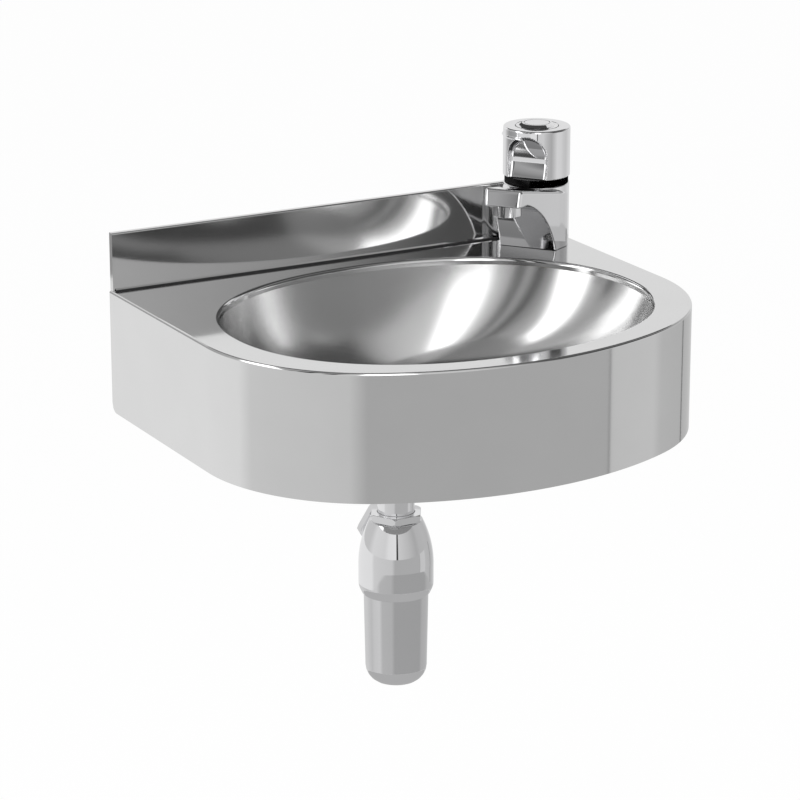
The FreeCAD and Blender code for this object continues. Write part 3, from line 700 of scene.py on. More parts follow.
# ---------------------------------------------------------------- basin
@dataclass
class Basin:
    """Folded deck and apron, and the pressed bowl under them. Sizes are in millimetres.

    The exponents squareness and fullness shape the bowl in the plan and in its section: 2 gives an
    ellipse and more a boxier curve. The draft is the angle, in degrees along that section's quarter
    turn, at which the wall begins: a larger one leans the wall further at the lip.
    """
    work: Work
    width: float = 430.0
    depth: float = 350.0
    apron: float = 106.0
    sheet: float = 1.2
    fold: float = 3.0
    edge: float = 1.9
    corner_radius: float = 148.0
    front_radius: float = 301.0
    heel: float = 8.0
    rim_side: float = 31.5
    rim_front: float = 23.2
    rim_rear: float = 31.3
    squareness: float = 2.15
    lip: float = 6.0
    bowl_gap: float = 0.1
    bowl_depth: float = 92.0
    fullness: float = 2.2
    draft: float = 18.0
    floor_radius: float = 42.0
    recess_radius: float = 34.0
    recess_depth: float = 4.0
    recess_edge: float = 0.8
    recess_corner: float = 1.5
    back_edge: float = 0.6
    back_corner: float = 1.2
    hole_radius: float = 21.6
    joint_out: float = 1.3
    joint_low: float = 0.02
    joint_high: float = 1.4
    bend_high: float = 2.5
    arc_step: float = 1.2

    FOLD_POINTS = 9
    DECK_ROWS = 5
    WALL_ROWS = 7
    SIDE_POINTS = 24
    REAR_POINTS = 62
    JOINT_POINTS = 40
    BOWL_ROWS = 40
    BOWL_COLUMNS = 180

    @property
    def half_bowl(self) -> tuple[float, float]:
        """Half length and half reach of the bowl's opening."""
        return self.width / 2 - self.rim_side, (self.depth - self.rim_front - self.rim_rear) / 2

    @property
    def bowl_y(self) -> float:
        """Middle of the bowl's opening."""
        return -self.rim_rear - self.half_bowl[1]

    def outline(self) -> tuple[Array, Array]:
        """The apron in the plan, from the wall on the right round the front to the wall on the left.

        Returns:
            Points and outward normals, 2-D.
        """
        corner_x = self.width / 2 - self.corner_radius
        front_y = self.front_radius - self.depth
        corner_y = front_y - math.sqrt((self.front_radius - self.corner_radius) ** 2 - corner_x ** 2)
        lean = math.atan2(corner_y - front_y, corner_x)
        heel_y = -self.heel * np.sin(np.linspace(0.0, math.pi / 2, self.FOLD_POINTS))
        side_y = np.concatenate([heel_y, np.linspace(-self.heel, corner_y, self.SIDE_POINTS)[1:]])
        side = np.stack([np.full(len(side_y), self.width / 2), side_y], axis=1)
        outward = np.tile([[1.0, 0.0]], (len(side), 1))
        corner, corner_facing = self._arc((corner_x, corner_y), self.corner_radius, 0.0, lean)
        front, front_facing = self._arc((0.0, front_y), self.front_radius, lean, -math.pi / 2)
        right = np.stack([np.concatenate([side, corner, front]),
                          np.concatenate([outward, corner_facing, front_facing])])
        left = right[:, -2::-1] * np.array([-1.0, 1.0])
        points, facing = np.concatenate([right, left], axis=1)
        return points, facing

    def _arc(self, centre: tuple[float, float], radius: float, start: float,
             end: float) -> tuple[Array, Array]:
        """Points and normals along a round stretch of the outline, less its first point."""
        steps = max(2, int(abs(math.degrees(end - start)) / self.arc_step) + 1)
        angles = np.linspace(start, end, steps)[1:]
        facing = np.stack([np.cos(angles), np.sin(angles)], axis=1)
        return np.array(centre) + radius * facing, facing

    def rim(self, directions: Array) -> tuple[Array, Array]:
        """The bowl's opening in given directions from its middle.

        Args:
            directions: Unit vectors in the plan.

        Returns:
            Points of the opening and their normals, away from the middle.
        """
        half = np.array(self.half_bowl)
        power = self.squareness
        reach = ((np.abs(directions) / half) ** power).sum(axis=1) ** (-1 / power)
        points = directions * reach[:, None]
        facing = np.sign(points) * np.abs(points / half) ** (power - 1) / half
        facing /= np.linalg.norm(facing, axis=1)[:, None]
        return points + np.array([0.0, self.bowl_y]), facing

    def make_skin(self) -> bpy.types.Object:
        """Deck and apron as one folded sheet with its rolled lip, heel and raw edges."""
        patchwork = Patchwork()
        outline, facing = self.outline()
        inset = outline - facing * self.edge
        rear_x = np.linspace(-inset[0, 0], inset[0, 0], self.REAR_POINTS)[1:-1]
        rear = np.stack([rear_x, np.zeros(len(rear_x))], axis=1)
        self._deck(patchwork, np.concatenate([inset, rear]))
        self._apron(patchwork, outline, facing)
        self._raw_edges(patchwork, outline, facing)
        return self.work.stand_in(patchwork.mesh("basin_skin", self.work.lift), "deck_and_apron")

    def _deck(self, patchwork: Patchwork, border: Array) -> None:
        """Flat top, its underside and the lip that turns down into the bowl."""
        directions = border - np.array([0.0, self.bowl_y])
        directions /= np.linalg.norm(directions, axis=1)[:, None]
        opening, away = self.rim(directions)
        crest = opening + away * self.fold
        for height, up in ((0.0, 1.0), (-self.sheet, -1.0)):
            rows = [at_height(crest + (border - crest) * share, height)
                    for share in np.linspace(0.0, 1.0, self.DECK_ROWS)]
            patchwork.grid(np.stack(rows), (0.0, 0.0, up), closed=True)
        self._fold_down(patchwork, crest, -away, self.fold, closed=True)
        facing = at_height(away, 0.0)
        inner = at_height(opening, -self.fold)
        outer = inner + facing * self.sheet
        drop = np.array([0.0, 0.0, self.fold - self.lip])
        patchwork.strip(inner, inner + drop, -facing, closed=True)
        patchwork.strip(outer, outer + drop, facing, closed=True)
        patchwork.strip(inner + drop, outer + drop, (0.0, 0.0, -1.0), closed=True)

    def _fold_down(self, patchwork: Patchwork, crest: Array, out: Array, rounding: float,
                   closed: bool) -> None:
        """Quarter round from the flat deck down to an upright wall, on its outer and inner face.

        Args:
            patchwork: Takes the faces.
            crest: Line in the plan along which the fold leaves the deck.
            out: Unit directions from that line towards the wall.
            rounding: Radius of the outer face.
            closed: Whether the line comes back to its start.
        """
        for radius, side in ((rounding, 1.0), (rounding - self.sheet, -1.0)):
            rows = []
            normals = []
            for angle in np.linspace(0.0, math.pi / 2, self.FOLD_POINTS):
                cos, sin = math.cos(angle), math.sin(angle)
                rows.append(at_height(crest + out * radius * sin, radius * cos - rounding))
                normals.append(side * at_height(out * sin, cos))
            patchwork.grid(np.stack(rows), np.stack(normals), closed)

    def foot(self, y: Array) -> Array:
        """Height of the apron's lower edge at a distance from the wall, with its rounded heel."""
        into_heel = np.clip(y + self.heel, 0.0, self.heel)
        return -self.apron + self.heel - np.sqrt(np.maximum(self.heel ** 2 - into_heel ** 2, 0.0))

    def _apron(self, patchwork: Patchwork, outline: Array, facing: Array) -> None:
        """Fold and wall of the apron, outside and inside."""
        crest = outline - facing * self.edge
        self._fold_down(patchwork, crest, facing, self.edge, closed=False)
        fall = self.foot(outline[:, 1]) + self.edge
        for radius, side in ((self.edge, 1.0), (self.edge - self.sheet, -1.0)):
            rows = [at_height(crest + facing * radius, fall * share - self.edge)
                    for share in np.linspace(0.0, 1.0, self.WALL_ROWS)]
            patchwork.grid(np.stack(rows), side * at_height(facing, 0.0))

    def _raw_edges(self, patchwork: Patchwork, outline: Array, facing: Array) -> None:
        """Cut edges of the sheet: the apron's foot and the edges against the wall."""
        foot = self.foot(outline[:, 1])
        patchwork.strip(at_height(outline, foot), at_height(outline - facing * self.sheet, foot),
                        (0.0, 0.0, -1.0))
        to_wall = (0.0, 1.0, 0.0)
        half = self.width / 2 - self.edge
        deck = np.array([[-half, 0.0, 0.0], [half, 0.0, 0.0]])
        patchwork.strip(deck, deck - np.array([0.0, 0.0, self.sheet]), to_wall)
        turns = np.linspace(0.0, math.pi / 2, self.FOLD_POINTS)
        for side in (-1, 1):
            lines = []
            for radius in (self.edge, self.edge - self.sheet):
                x = half + radius * np.append(np.sin(turns), 1.0)
                z = np.append(radius * np.cos(turns) - self.edge, foot[0])
                lines.append(np.column_stack([side * x, np.zeros(len(x)), z]))
            patchwork.strip(*lines, to_wall)

    def make_bend(self) -> bpy.types.Object:
        """Small slope at the top of the joint between the deck and the splashback."""
        edges = (self.joint_out, self.joint_high), (0.0, self.bend_high)
        return self._foot_strip("basin_bend", edges, Finish.polished_steel)

    def make_seam(self) -> bpy.types.Object:
        """Thin black strip at the splashback's foot: painted shade that stands in for the shadow in the
        joint.
        """
        edges = (self.joint_out, self.joint_low), (self.joint_out, self.joint_high)
        # Painted shade: a strip in the black rubber finish where the joint has only shadow.
        return self._foot_strip("basin_seam", edges, Finish.rubber)

    def _foot_strip(self, name: str, edges: tuple[tuple[float, float], ...],
                    finish: Finish) -> bpy.types.Object:
        """Strip along the splashback's foot.

        Args:
            name: Name of the piece.
            edges: Lower and upper edge, each as its distance from the splashback's face and its height.
            finish: What it is made of.

        Returns:
            The piece, riding on the splashback's body.
        """
        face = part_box("splashback")[0][1] / MM
        reach = self.width / 2 - self.fold
        (out_low, low), (out_high, high) = edges
        turn = math.atan2(out_low - out_high, high - low)
        x = np.linspace(-reach, reach, self.JOINT_POINTS)
        lines = [np.column_stack([x, np.full(len(x), face - out), np.full(len(x), height)])
                 for out, height in edges]
        patchwork = Patchwork()
        patchwork.strip(*lines, (0.0, -math.cos(turn), math.sin(turn)))
        piece = self.work.add(patchwork.mesh(name, self.work.lift), "splashback", finish)
        LOG.info("%s drawn in front of the splashback's face at y = %.1f mm", name, face)
        return piece

    def make_bowl(self) -> bpy.types.Object:
        """Pressed bowl: rounded oval at the lip, round at its flat floor, with a recess for the waste."""
        patchwork = Patchwork()
        waste = self.work.centre("waste_strainer")
        turns = np.linspace(0.0, 2 * math.pi, self.BOWL_COLUMNS, endpoint=False)
        sinks = np.linspace(math.radians(self.draft), math.pi / 2, self.BOWL_ROWS)
        inside = np.stack([self._bowl_ring(sink, turns, waste) for sink in sinks])
        along = np.gradient(inside, axis=0)
        around = (np.roll(inside, -1, axis=1) - np.roll(inside, 1, axis=1)) / 2
        normals = np.cross(along, around)
        normals /= np.maximum(np.linalg.norm(normals, axis=-1), TINY)[..., None]
        inward = ((np.array([*waste, 0.0]) - inside) * normals).sum(axis=-1)[..., None]
        normals = np.where(inward < 0, -normals, normals)
        normals[-1] = (0.0, 0.0, 1.0)
        outside = inside - normals * self.sheet
        patchwork.grid(inside, normals, closed=True)
        patchwork.grid(outside, -normals, closed=True)
        patchwork.strip(inside[0], outside[0], (0.0, 0.0, 1.0), closed=True)
        for pocket in self._recess():
            turned(patchwork, pocket, waste, self.BOWL_COLUMNS)
        return self.work.stand_in(patchwork.mesh("basin_bowl", self.work.lift), "bowl")

    def _bowl_ring(self, sink: float, turns: Array, waste: tuple[float, float]) -> Array:
        """One level of the bowl's inside: sink runs from the draft at the lip to a quarter turn."""
        lip = math.radians(self.draft)
        spread = (max(math.cos(sink), 0.0) / math.cos(lip)) ** (2 / self.fullness)
        start = math.sin(lip) ** (2 / self.fullness)
        fall = (math.sin(sink) ** (2 / self.fullness) - start) / (1 - start)
        power = 2 + (self.squareness - 2) * spread
        half = [self.floor_radius + (reach - self.floor_radius) * spread for reach in self.half_bowl]
        cos, sin = np.cos(turns), np.sin(turns)
        x = waste[0] * (1 - spread) + half[0] * np.sign(cos) * np.abs(cos) ** (2 / power)
        y = waste[1] + (self.bowl_y - waste[1]) * spread + half[1] * np.sign(sin) * np.abs(sin) ** (2 / power)
        z = -self.lip - (self.bowl_depth - self.lip) * fall - self.bowl_gap
        return np.stack([x, y, np.full(len(turns), z)], axis=1)

    def _recess(self) -> tuple[Profile, Profile]:
        """Sections of the waste's recess in the bowl's floor: its upper face, then its back."""
        top = -self.bowl_depth - self.bowl_gap
        low = top - self.recess_depth
        outer = self.recess_radius + self.sheet
        upper = Profile([(self.hole_radius, low, 0), (self.recess_radius, low, self.recess_corner),
                         (self.recess_radius, top, self.recess_edge), (self.floor_radius, top, 0)])
        back = Profile([(self.floor_radius, top - self.sheet, 0), (outer, top - self.sheet, self.back_edge),
                        (outer, low - self.sheet, self.back_corner),
                        (self.hole_radius, low - self.sheet, 0), (self.hole_radius, low, 0)])
        return upper, back


# ---------------------------------------------------------------- bottle trap
@dataclass
class BottleTrap:
    """Chromed trap under the waste, drawn about its own axis.

    Heights are from the deck's top, in millimetres, and the outlet's swing is in degrees.
    """
    work: Work
    bell_top: float = -205.3
    top_radius: float = 22.5
    top_edge: float = 0.8
    radius: float = 32.5
    shoulder: float = 41.0
    barrel: float = 19.0
    chamfer: float = 6.5
    chamfer_edge: float = 1.2
    mouth_radius: float = 28.5
    mouth_margin: float = 1.0
    mouth_overlap: float = 1.0
    mouth_edge: float = 0.4
    wall: float = 2.2
    hollow_edge: float = 0.5
    tube_radius: float = 16.0
    slip: float = 0.3
    hole_edge: float = 0.3
    outlet_below: float = 22.7
    outlet_swing: float = 17.0
    outlet_bore: float = 16.25
    outlet_start: float = 24.0
    outlet_edge: float = 0.4
    boss_radius: float = 19.0
    boss_reach: float = 36.0
    boss_edge: float = 0.6
    boss_fillet: float = 2.5
    boss_room: float = 6.0
    cup_radius: float = 28.2
    cup_low_radius: float = 26.4
    cup_rounding: float = 15.5
    cup_wall: float = 1.8
    cup_edge: float = 0.4
    cup_height: float = 91.5
    cup_inside_bell: float = 9.0
    nut_gap: float = 0.1
    nut_height: float = 6.5
    nut_across: float = 42.5
    nut_corner: float = 0.5
    nut_bevel_edge: float = 0.4
    nut_face_edge: float = 0.3
    nut_step: float = 0.5
    step: float = 0.85

    NUT_SIDES = 6

    def __post_init__(self) -> None:
        self.axis = self.work.centre("trap_cup")
        self.shoulder_low = self.bell_top - self.shoulder
        self.barrel_low = self.shoulder_low - self.barrel
        self.bell_low = self.barrel_low - self.chamfer
        rise = self.radius - self.top_radius
        self.sweep = (self.shoulder ** 2 + rise ** 2) / (2 * rise)
        self.nut_low = self.bell_top + self.nut_gap
        self.nut_reach = self.nut_across / math.sqrt(3)

    def _place(self, points: Array) -> Array:
        """Carries a piece drawn on the trap's axis into the shared frame."""
        return self.work.place(points, self.axis)

    def bell(self, points: Array) -> Array:
        """Distance to the bell with its outlet boss."""
        x, y, z, out = about_axis(points)
        shell = self._shoulder(out, z, 0.0)
        draw_in = self.radius - self.mouth_radius - self.mouth_margin
        cone = (out - self.radius) * self.chamfer - (z - self.barrel_low) * draw_in
        shell = both(shell, cone / math.hypot(self.chamfer, draw_in), self.chamfer_edge)
        shell = both(shell, z - self.bell_top, self.top_edge)
        shell = both(shell, self.bell_low - z, self.mouth_edge)
        swing = math.radians(self.outlet_swing)
        along = x * math.sin(swing) + y * math.cos(swing)
        aside = x * math.cos(swing) - y * math.sin(swing)
        from_outlet = np.hypot(aside, z - self.bell_top + self.outlet_below)
        boss = bar(self.boss_radius, 0.0, self.boss_reach, self.boss_edge, from_outlet, along)
        solid = either(shell, boss, self.boss_fillet)
        ceiling = z - self.bell_top + 2 * self.wall
        hollow = both(self._shoulder(out, z, self.wall), ceiling, self.hollow_edge)
        solid = without(solid, np.maximum(hollow, self.barrel_low - z), 0.0)
        mouth = np.maximum(out - self.mouth_radius, z - self.barrel_low - self.mouth_overlap)
        solid = without(solid, mouth, self.hole_edge)
        solid = without(solid, out - self.tube_radius - self.slip, self.hole_edge)
        bore = np.maximum(from_outlet - self.outlet_bore, self.outlet_start - along)
        return without(solid, bore, self.outlet_edge)

    def _shoulder(self, out: Array, z: Array, inset: float) -> Array:
        """Distance to the bell's sweeping shoulder and straight barrel, drawn in by a wall."""
        above = np.maximum(z - self.shoulder_low, 0.0)
        return np.hypot(out - self.radius + self.sweep, above) - self.sweep + inset

    def make_bell(self) -> bpy.types.Object:
        """Bell-shaped body of the trap."""
        carving = Carving(self.bell, (-self.radius, -self.radius, self.bell_low),
                          (self.radius, self.boss_reach + self.boss_room, self.bell_top), self.step)
        return self.work.stand_in(carving.mesh("trap_bell", self._place), "trap_body")

    def hex_nut(self, points: Array) -> Array:
        """Distance to the thin nut that clamps the inlet tube."""
        x, y, z, out = about_axis(points)
        solid = np.full(out.shape, -self.nut_across)  # deeper than any point, until the flats cut it
        for side in range(self.NUT_SIDES):
            angle = 2 * math.pi * (side + 0.5) / self.NUT_SIDES
            flat = x * math.cos(angle) + y * math.sin(angle) - self.nut_across / 2
            solid = both(solid, flat, self.nut_corner)
        above = np.abs(z - self.nut_low - self.nut_height / 2) - self.nut_height / 2
        bevel = (self.nut_reach - self.nut_across / 2) / 2
        cone = (out - self.nut_reach + above + bevel) / math.sqrt(2)
        solid = both(both(solid, cone, self.nut_bevel_edge), above, self.nut_face_edge)
        return without(solid, out - self.tube_radius - self.slip, self.hole_edge)

    def make_nut(self) -> bpy.types.Object:
        """Hexagonal nut on top of the bell."""
        carving = Carving(self.hex_nut, (-self.nut_reach, -self.nut_reach, self.nut_low),
                          (self.nut_reach, self.nut_reach, self.nut_low + self.nut_height), self.nut_step)
        return self.work.stand_in(carving.mesh("trap_top_nut", self._place), "trap_inlet_nut")

    def make_cup(self) -> bpy.types.Object:
        """Cup that screws into the bell, hollow inside, with its softly rounded foot."""
        rim = self.bell_low + self.cup_inside_bell
        foot = rim - self.cup_height
        floor = foot + self.cup_wall
        patchwork = Patchwork()
        turned(patchwork, Profile([
            (0, foot, 0), (self.cup_low_radius, foot, self.cup_rounding),
            (self.cup_radius, rim, self.cup_edge), (self.cup_radius - self.cup_wall, rim, self.cup_edge),
            (self.cup_low_radius - self.cup_wall, floor, self.cup_rounding - self.cup_wall), (0, floor, 0)]))
        return self.work.stand_in(patchwork.mesh("trap_bottle_cup", self._place), "trap_cup")


# ---------------------------------------------------------------- tap
@dataclass
class PushTap:
    """Chromed push tap with a turning head, drawn about its own axis with the spout along +X.

    Heights are from the deck's top. All sizes are in millimetres, and the brow's place and reach round
    the head are in degrees.
    """
    work: Work
    basin: Basin
    radius: float = 29.0
    height: float = 56.0
    barrel_edge: float = 0.6
    spout_reach: float = 85.0
    spout_fillet: float = 1.5
    end_setback: float = 3.5
    end_width: float = 32.5
    end_low: float = 51.5
    end_high: float = 66.5
    root_height: float = 55.3
    edge: float = 3.0
    arch_foot: tuple[float, float] = (20.0, 0.0)
    arch_middle: tuple[float, float] = (38.0, 31.0)
    arch_end: float = 71.0
    arch_edge: float = 0.9
    bore_radius: float = 20.0
    bore_floor: float = 22.0
    bore_edge: float = 0.3
    shank_radius: float = 14.0
    shank_socket: float = 9.0
    gasket_radius: float = 18.6
    gasket_height: float = 1.2
    gasket_edge: float = 0.1
    aerator_at: float = 72.0
    aerator_radius: float = 12.5
    aerator_drop: float = 10.0
    aerator_neck: float = 10.8
    neck_rise: float = 5.0
    neck_overlap: float = 1.0
    ring_radius: float = 28.0
    ring_low: float = 56.1
    ring_height: float = 6.4
    ring_edge: float = 0.5
    head_radius: float = 29.4
    head_low: float = 62.6
    head_height: float = 43.3
    head_edge: float = 1.6
    scoop_half: float = 18.0
    scoop_apex: float = 6.0
    scoop_mouth: float = 6.5
    scoop_depth: float = 11.5
    scoop_overrun: float = 1.0
    scoop_rounding: float = 4.0
    scoop_edge: float = 0.9
    brow_below_top: float = 7.6
    brow_size: float = 0.75
    brow_proud: float = 0.3
    brow_middle: float = 44.0
    brow_reach: float = 40.0
    brow_fillet: float = 0.4
    brow_room: float = 1.5
    spring_radius: float = 11.9
    spring_depth: float = 7.4
    core_radius: float = 14.5
    core_below_well: float = 9.4
    button_radius: float = 18.7
    button_gap: float = 0.4
    button_face: float = 12.2
    button_rise: float = 2.5
    button_thickness: float = 4.5
    button_travel: float = 4.0
    button_low_edge: float = 0.4
    button_rim_edge: float = 0.3
    slope_foot: float = 3.2
    slope_foot_edge: float = 0.5
    slope_lift: float = 0.2
    slope_top: float = 1.0
    slope_top_edge: float = 0.6
    groove_inset: float = 0.6
    groove_width: float = 0.6
    groove_depth: float = 0.4
    groove_top_edge: float = 0.12
    groove_low_edge: float = 0.1
    well_edge: float = 0.5
    cut_edge: float = 0.2
    gap: float = 0.1
    slip: float = 0.3
    step: float = 0.8

    def __post_init__(self) -> None:
        self.axis = self.work.centre("temperature_ring")
        self.turn = math.atan2(self.basin.bowl_y - self.axis[1], -self.axis[0])
        self.head_top = self.head_low + self.head_height
        LOG.info("tap at %s, turned by %.1f degrees", self.axis, math.degrees(self.turn))

    def _place(self, points: Array) -> Array:
        """Carries a piece drawn on the tap's axis into the shared frame."""
        return self.work.place(points, self.axis, self.turn)

    @staticmethod
    def _circle_through(first: tuple[float, float], second: tuple[float, float],
                        third: tuple[float, float]) -> tuple[float, float, float]:
        """Centre and radius of the circle through three points."""
        (ax, ay), (bx, by), (cx, cy) = first, second, third
        scale = 2 * (ax * (by - cy) + bx * (cy - ay) + cx * (ay - by))
        a, b, c = ax ** 2 + ay ** 2, bx ** 2 + by ** 2, cx ** 2 + cy ** 2
        x = (a * (by - cy) + b * (cy - ay) + c * (ay - by)) / scale
        y = (a * (cx - bx) + b * (ax - cx) + c * (bx - ax)) / scale
        return x, y, math.hypot(ax - x, ay - y)

    def _spout(self, x: Array, y: Array, z: Array) -> Array:
        """Distance to the tapering spout before the arch is cut."""
        half = self.end_width / 2
        turn = math.atan2(half, self.spout_reach)
        turn += math.acos(self.radius / math.hypot(self.spout_reach, half))
        sides = x * math.cos(turn) + np.abs(y) * math.sin(turn) - self.radius
        rise = self.end_high - self.end_low
        end = (x - self.spout_reach) * rise + (z - self.end_low) * self.end_setback
        end = end / math.hypot(rise, self.end_setback)
        run = self.spout_reach - self.end_setback - self.radius
        climb = self.end_high - self.root_height
        top = ((z - self.root_height) * run - (x - self.radius) * climb) / math.hypot(run, climb)
        block = both(both(sides, top, self.edge), end, self.edge)
        return np.maximum(block, -x)

    def body(self, points: Array) -> Array:
        """Distance to the tap's body: barrel and spout over one large hollow arch."""
        x, y, z, out = about_axis(points)
        barrel = bar(self.radius, self.gap, self.height, self.barrel_edge, out, z)
        solid = either(barrel, self._spout(x, y, z), self.spout_fillet)
        centre_x, centre_z, sweep = self._circle_through(self.arch_foot, self.arch_middle,
                                                         (self.arch_end, self.end_low))
        arch = np.minimum(np.hypot(x - centre_x, z - centre_z) - sweep, self.arch_end - x)
        solid = without(solid, np.maximum(arch, z - self.end_low), self.arch_edge)
        solid = np.maximum(solid, self.gap - z)
        bore = np.maximum(out - self.bore_radius, self.bore_floor - z)
        solid = without(solid, bore, self.bore_edge)
        socket = np.maximum(out - self.shank_radius, z - self.shank_socket) - self.gap
        solid = without(solid, socket, self.cut_edge)
        seat = np.maximum(out - self.gasket_radius, z - self.gasket_height) - self.gap
        solid = without(solid, seat, self.gasket_edge)
        from_aerator = np.hypot(x - self.aerator_at, y)
        above = z - self.end_low
        skirt = np.maximum(from_aerator - self.aerator_radius - self.slip,
                           np.maximum(above, -self.aerator_drop - above))
        neck = np.maximum(from_aerator - self.aerator_neck - self.gap,
                          np.maximum(above - self.neck_rise, -self.neck_overlap - above))
        return without(without(solid, skirt, self.cut_edge), neck, 0.0)

    def make_body(self) -> bpy.types.Object:
        """Body with its spout."""
        carving = Carving(self.body, (-self.radius, -self.radius, 0.0),
                          (self.spout_reach, self.radius, self.end_high), self.step)
        return self.work.stand_in(carving.mesh("tap_casting", self._place, self.turn), "tap_body")

    def head(self, points: Array) -> Array:
        """Distance to the turning head with its finger scoop, brow and button well."""
        x, y, z, out = about_axis(points)
        solid = np.maximum(out - self.head_radius, self.head_low - z)
        solid = both(solid, z - self.head_top, self.head_edge)
        apex = self.head_top - self.scoop_apex
        crown = apex - self.scoop_half
        arch = np.hypot(y, np.maximum(z - crown, 0.0)) - self.scoop_half
        mouth = self.head_radius - self.scoop_mouth
        deep = self.head_radius - self.scoop_depth
        low = self.head_low - self.scoop_overrun
        middle = (deep, (low + apex) / 2)
        centre_x, centre_z, sweep = self._circle_through((mouth, low), middle, (mouth, apex))
        hollow = np.hypot(x - centre_x, z - centre_z) - sweep
        solid = without(solid, both(arch, hollow, self.scoop_rounding), self.scoop_edge)
        solid = either(solid, self._brow(x, y, z), self.brow_fillet)
        floor = self.head_top - self.button_thickness - self.button_travel - self.slip
        well = np.maximum(out - self.button_radius - self.button_gap, floor - z)
        solid = without(solid, well, self.well_edge)
        pocket = np.maximum(out - self.spring_radius, floor - self.spring_depth - z)
        core = np.maximum(out - self.core_radius, z - floor + self.core_below_well)
        return without(without(solid, pocket, self.cut_edge), core, self.cut_edge)

    def _brow(self, x: Array, y: Array, z: Array) -> Array:
        """Distance to the thin raised brow over the left half of the scoop."""
        around = np.abs(np.arctan2(-y, x) - math.radians(self.brow_middle))
        past_end = np.maximum(around - math.radians(self.brow_reach), 0.0) * self.head_radius
        level = z - self.head_top + self.brow_below_top
        proud = np.hypot(x, y) - self.head_radius - self.brow_proud
        return np.sqrt(proud ** 2 + level ** 2 + past_end ** 2) - self.brow_size

    def make_head(self) -> bpy.types.Object:
        """Turning head."""
        reach = self.head_radius + self.brow_room
        carving = Carving(self.head, (-reach, -reach, self.head_low),
                          (reach, reach, self.head_top), self.step)
        return self.work.stand_in(carving.mesh("tap_turning_head", self._place, self.turn), "tap_head")

    def make_ring(self) -> bpy.types.Object:
        """Black ring between the body and the head."""
        low, high = self.ring_low, self.ring_low + self.ring_height
        inner = self.bore_radius + self.gap
        patchwork = Patchwork()
        turned(patchwork, Profile([
            (self.ring_radius, low, self.ring_edge), (self.ring_radius, high, self.ring_edge),
            (inner, high, self.cut_edge), (inner, low, self.cut_edge)], closed=True))
        return self.work.stand_in(patchwork.mesh("tap_black_ring", self._place), "temperature_ring")

    def make_button(self) -> bpy.types.Object:
        """Push button with its sloping edge and a fine engraved ring."""
        top = self.head_top + self.button_rise
        low = self.head_top - self.button_thickness
        outer = self.button_face - self.groove_inset
        inner = outer - self.groove_width
        floor = top - self.groove_depth
        patchwork = Patchwork()
        turned(patchwork, Profile([
            (0, low, 0), (self.button_radius, low, self.button_low_edge),
            (self.button_radius, self.head_top, self.button_rim_edge),
            (self.button_face + self.slope_foot, self.head_top + self.slope_lift, self.slope_foot_edge),
            (self.button_face + self.slope_top, top, self.slope_top_edge),
            (outer, top, self.groove_top_edge), (outer, floor, self.groove_low_edge),
            (inner, floor, self.groove_low_edge), (inner, top, self.groove_top_edge), (0, top, 0)]))
        return self.work.stand_in(patchwork.mesh("tap_push_button", self._place), "push_button")

    def fit_spring(self) -> None:
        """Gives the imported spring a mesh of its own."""
        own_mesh(self.work.nodes["button_spring"])


# ---------------------------------------------------------------- studio
def grey(tone: float) -> tuple[float, float, float, float]:
    """A solid grey, where 1 is white."""
    return tone, tone, tone, 1.0


@dataclass(frozen=True)
class Band:
    """A curved screen round the basin that only mirrors see, as soft light and shade on polished metal.

    Attributes:
        name: What it is called.
        low: Lower edge: a height in metres, or an elevation in degrees on a domed band.
        high: Upper edge, likewise.
        tones: (azimuth, brightness) pairs with an even change between them. Azimuths are in degrees,
            clockwise from the wall's side as seen from above, and a brightness of 1 is white.
        distance: Distance from its middle, in metres.
        domed: Bent like part of a dome, where it would otherwise stand upright.
        lean: Degrees by which a domed band's upper edge is turned further round than its lower edge.
        middle: The point that it stands round, in metres.
    """
    name: str
    low: float
    high: float
    tones: tuple[tuple[float, float], ...]
    distance: float = 1.0
    domed: bool = False
    lean: float = 0.0
    middle: tuple[float, float, float] = (0.0, -0.2, 0.0)

    STEP = 3.0
    DOME_ROWS = 12

    def mesh(self) -> bpy.types.Mesh:
        """The band's faces, with its tones as a colour on its points."""
        azimuths = [azimuth for azimuth, _ in self.tones]
        columns = np.unique(np.concatenate([np.arange(azimuths[0], azimuths[-1], self.STEP), azimuths]))
        tone = np.interp(columns, *zip(*self.tones))
        rows = self.DOME_ROWS if self.domed else 2
        turn = np.radians(columns[:, None] + self.lean * np.linspace(0.0, 1.0, rows)[None] ** 2)
        climb = np.broadcast_to(np.linspace(self.low, self.high, rows)[None], turn.shape)
        flat, height = np.full(turn.shape, self.distance), climb
        if self.domed:
            flat, height = np.cos(np.radians(climb)) * flat, np.sin(np.radians(climb)) * flat
        points = np.stack([np.sin(turn) * flat, np.cos(turn) * flat, height], axis=-1)
        points = (points + np.array(self.middle)).reshape(-1, 3)
        index = np.arange(turn.size).reshape(turn.shape)
        faces = np.stack([index[:-1, :-1], index[:-1, 1:], index[1:, 1:], index[1:, :-1]], axis=-1)
        mesh = bpy.data.meshes.new("band_" + self.name)
        mesh.from_pydata(points.tolist(), [], faces.reshape(-1, 4).tolist())
        colour = mesh.color_attributes.new("tone", "FLOAT_COLOR", "POINT")
        for spot, value in zip(colour.data, np.repeat(tone, rows)):
            spot.color = grey(value)
        return mesh


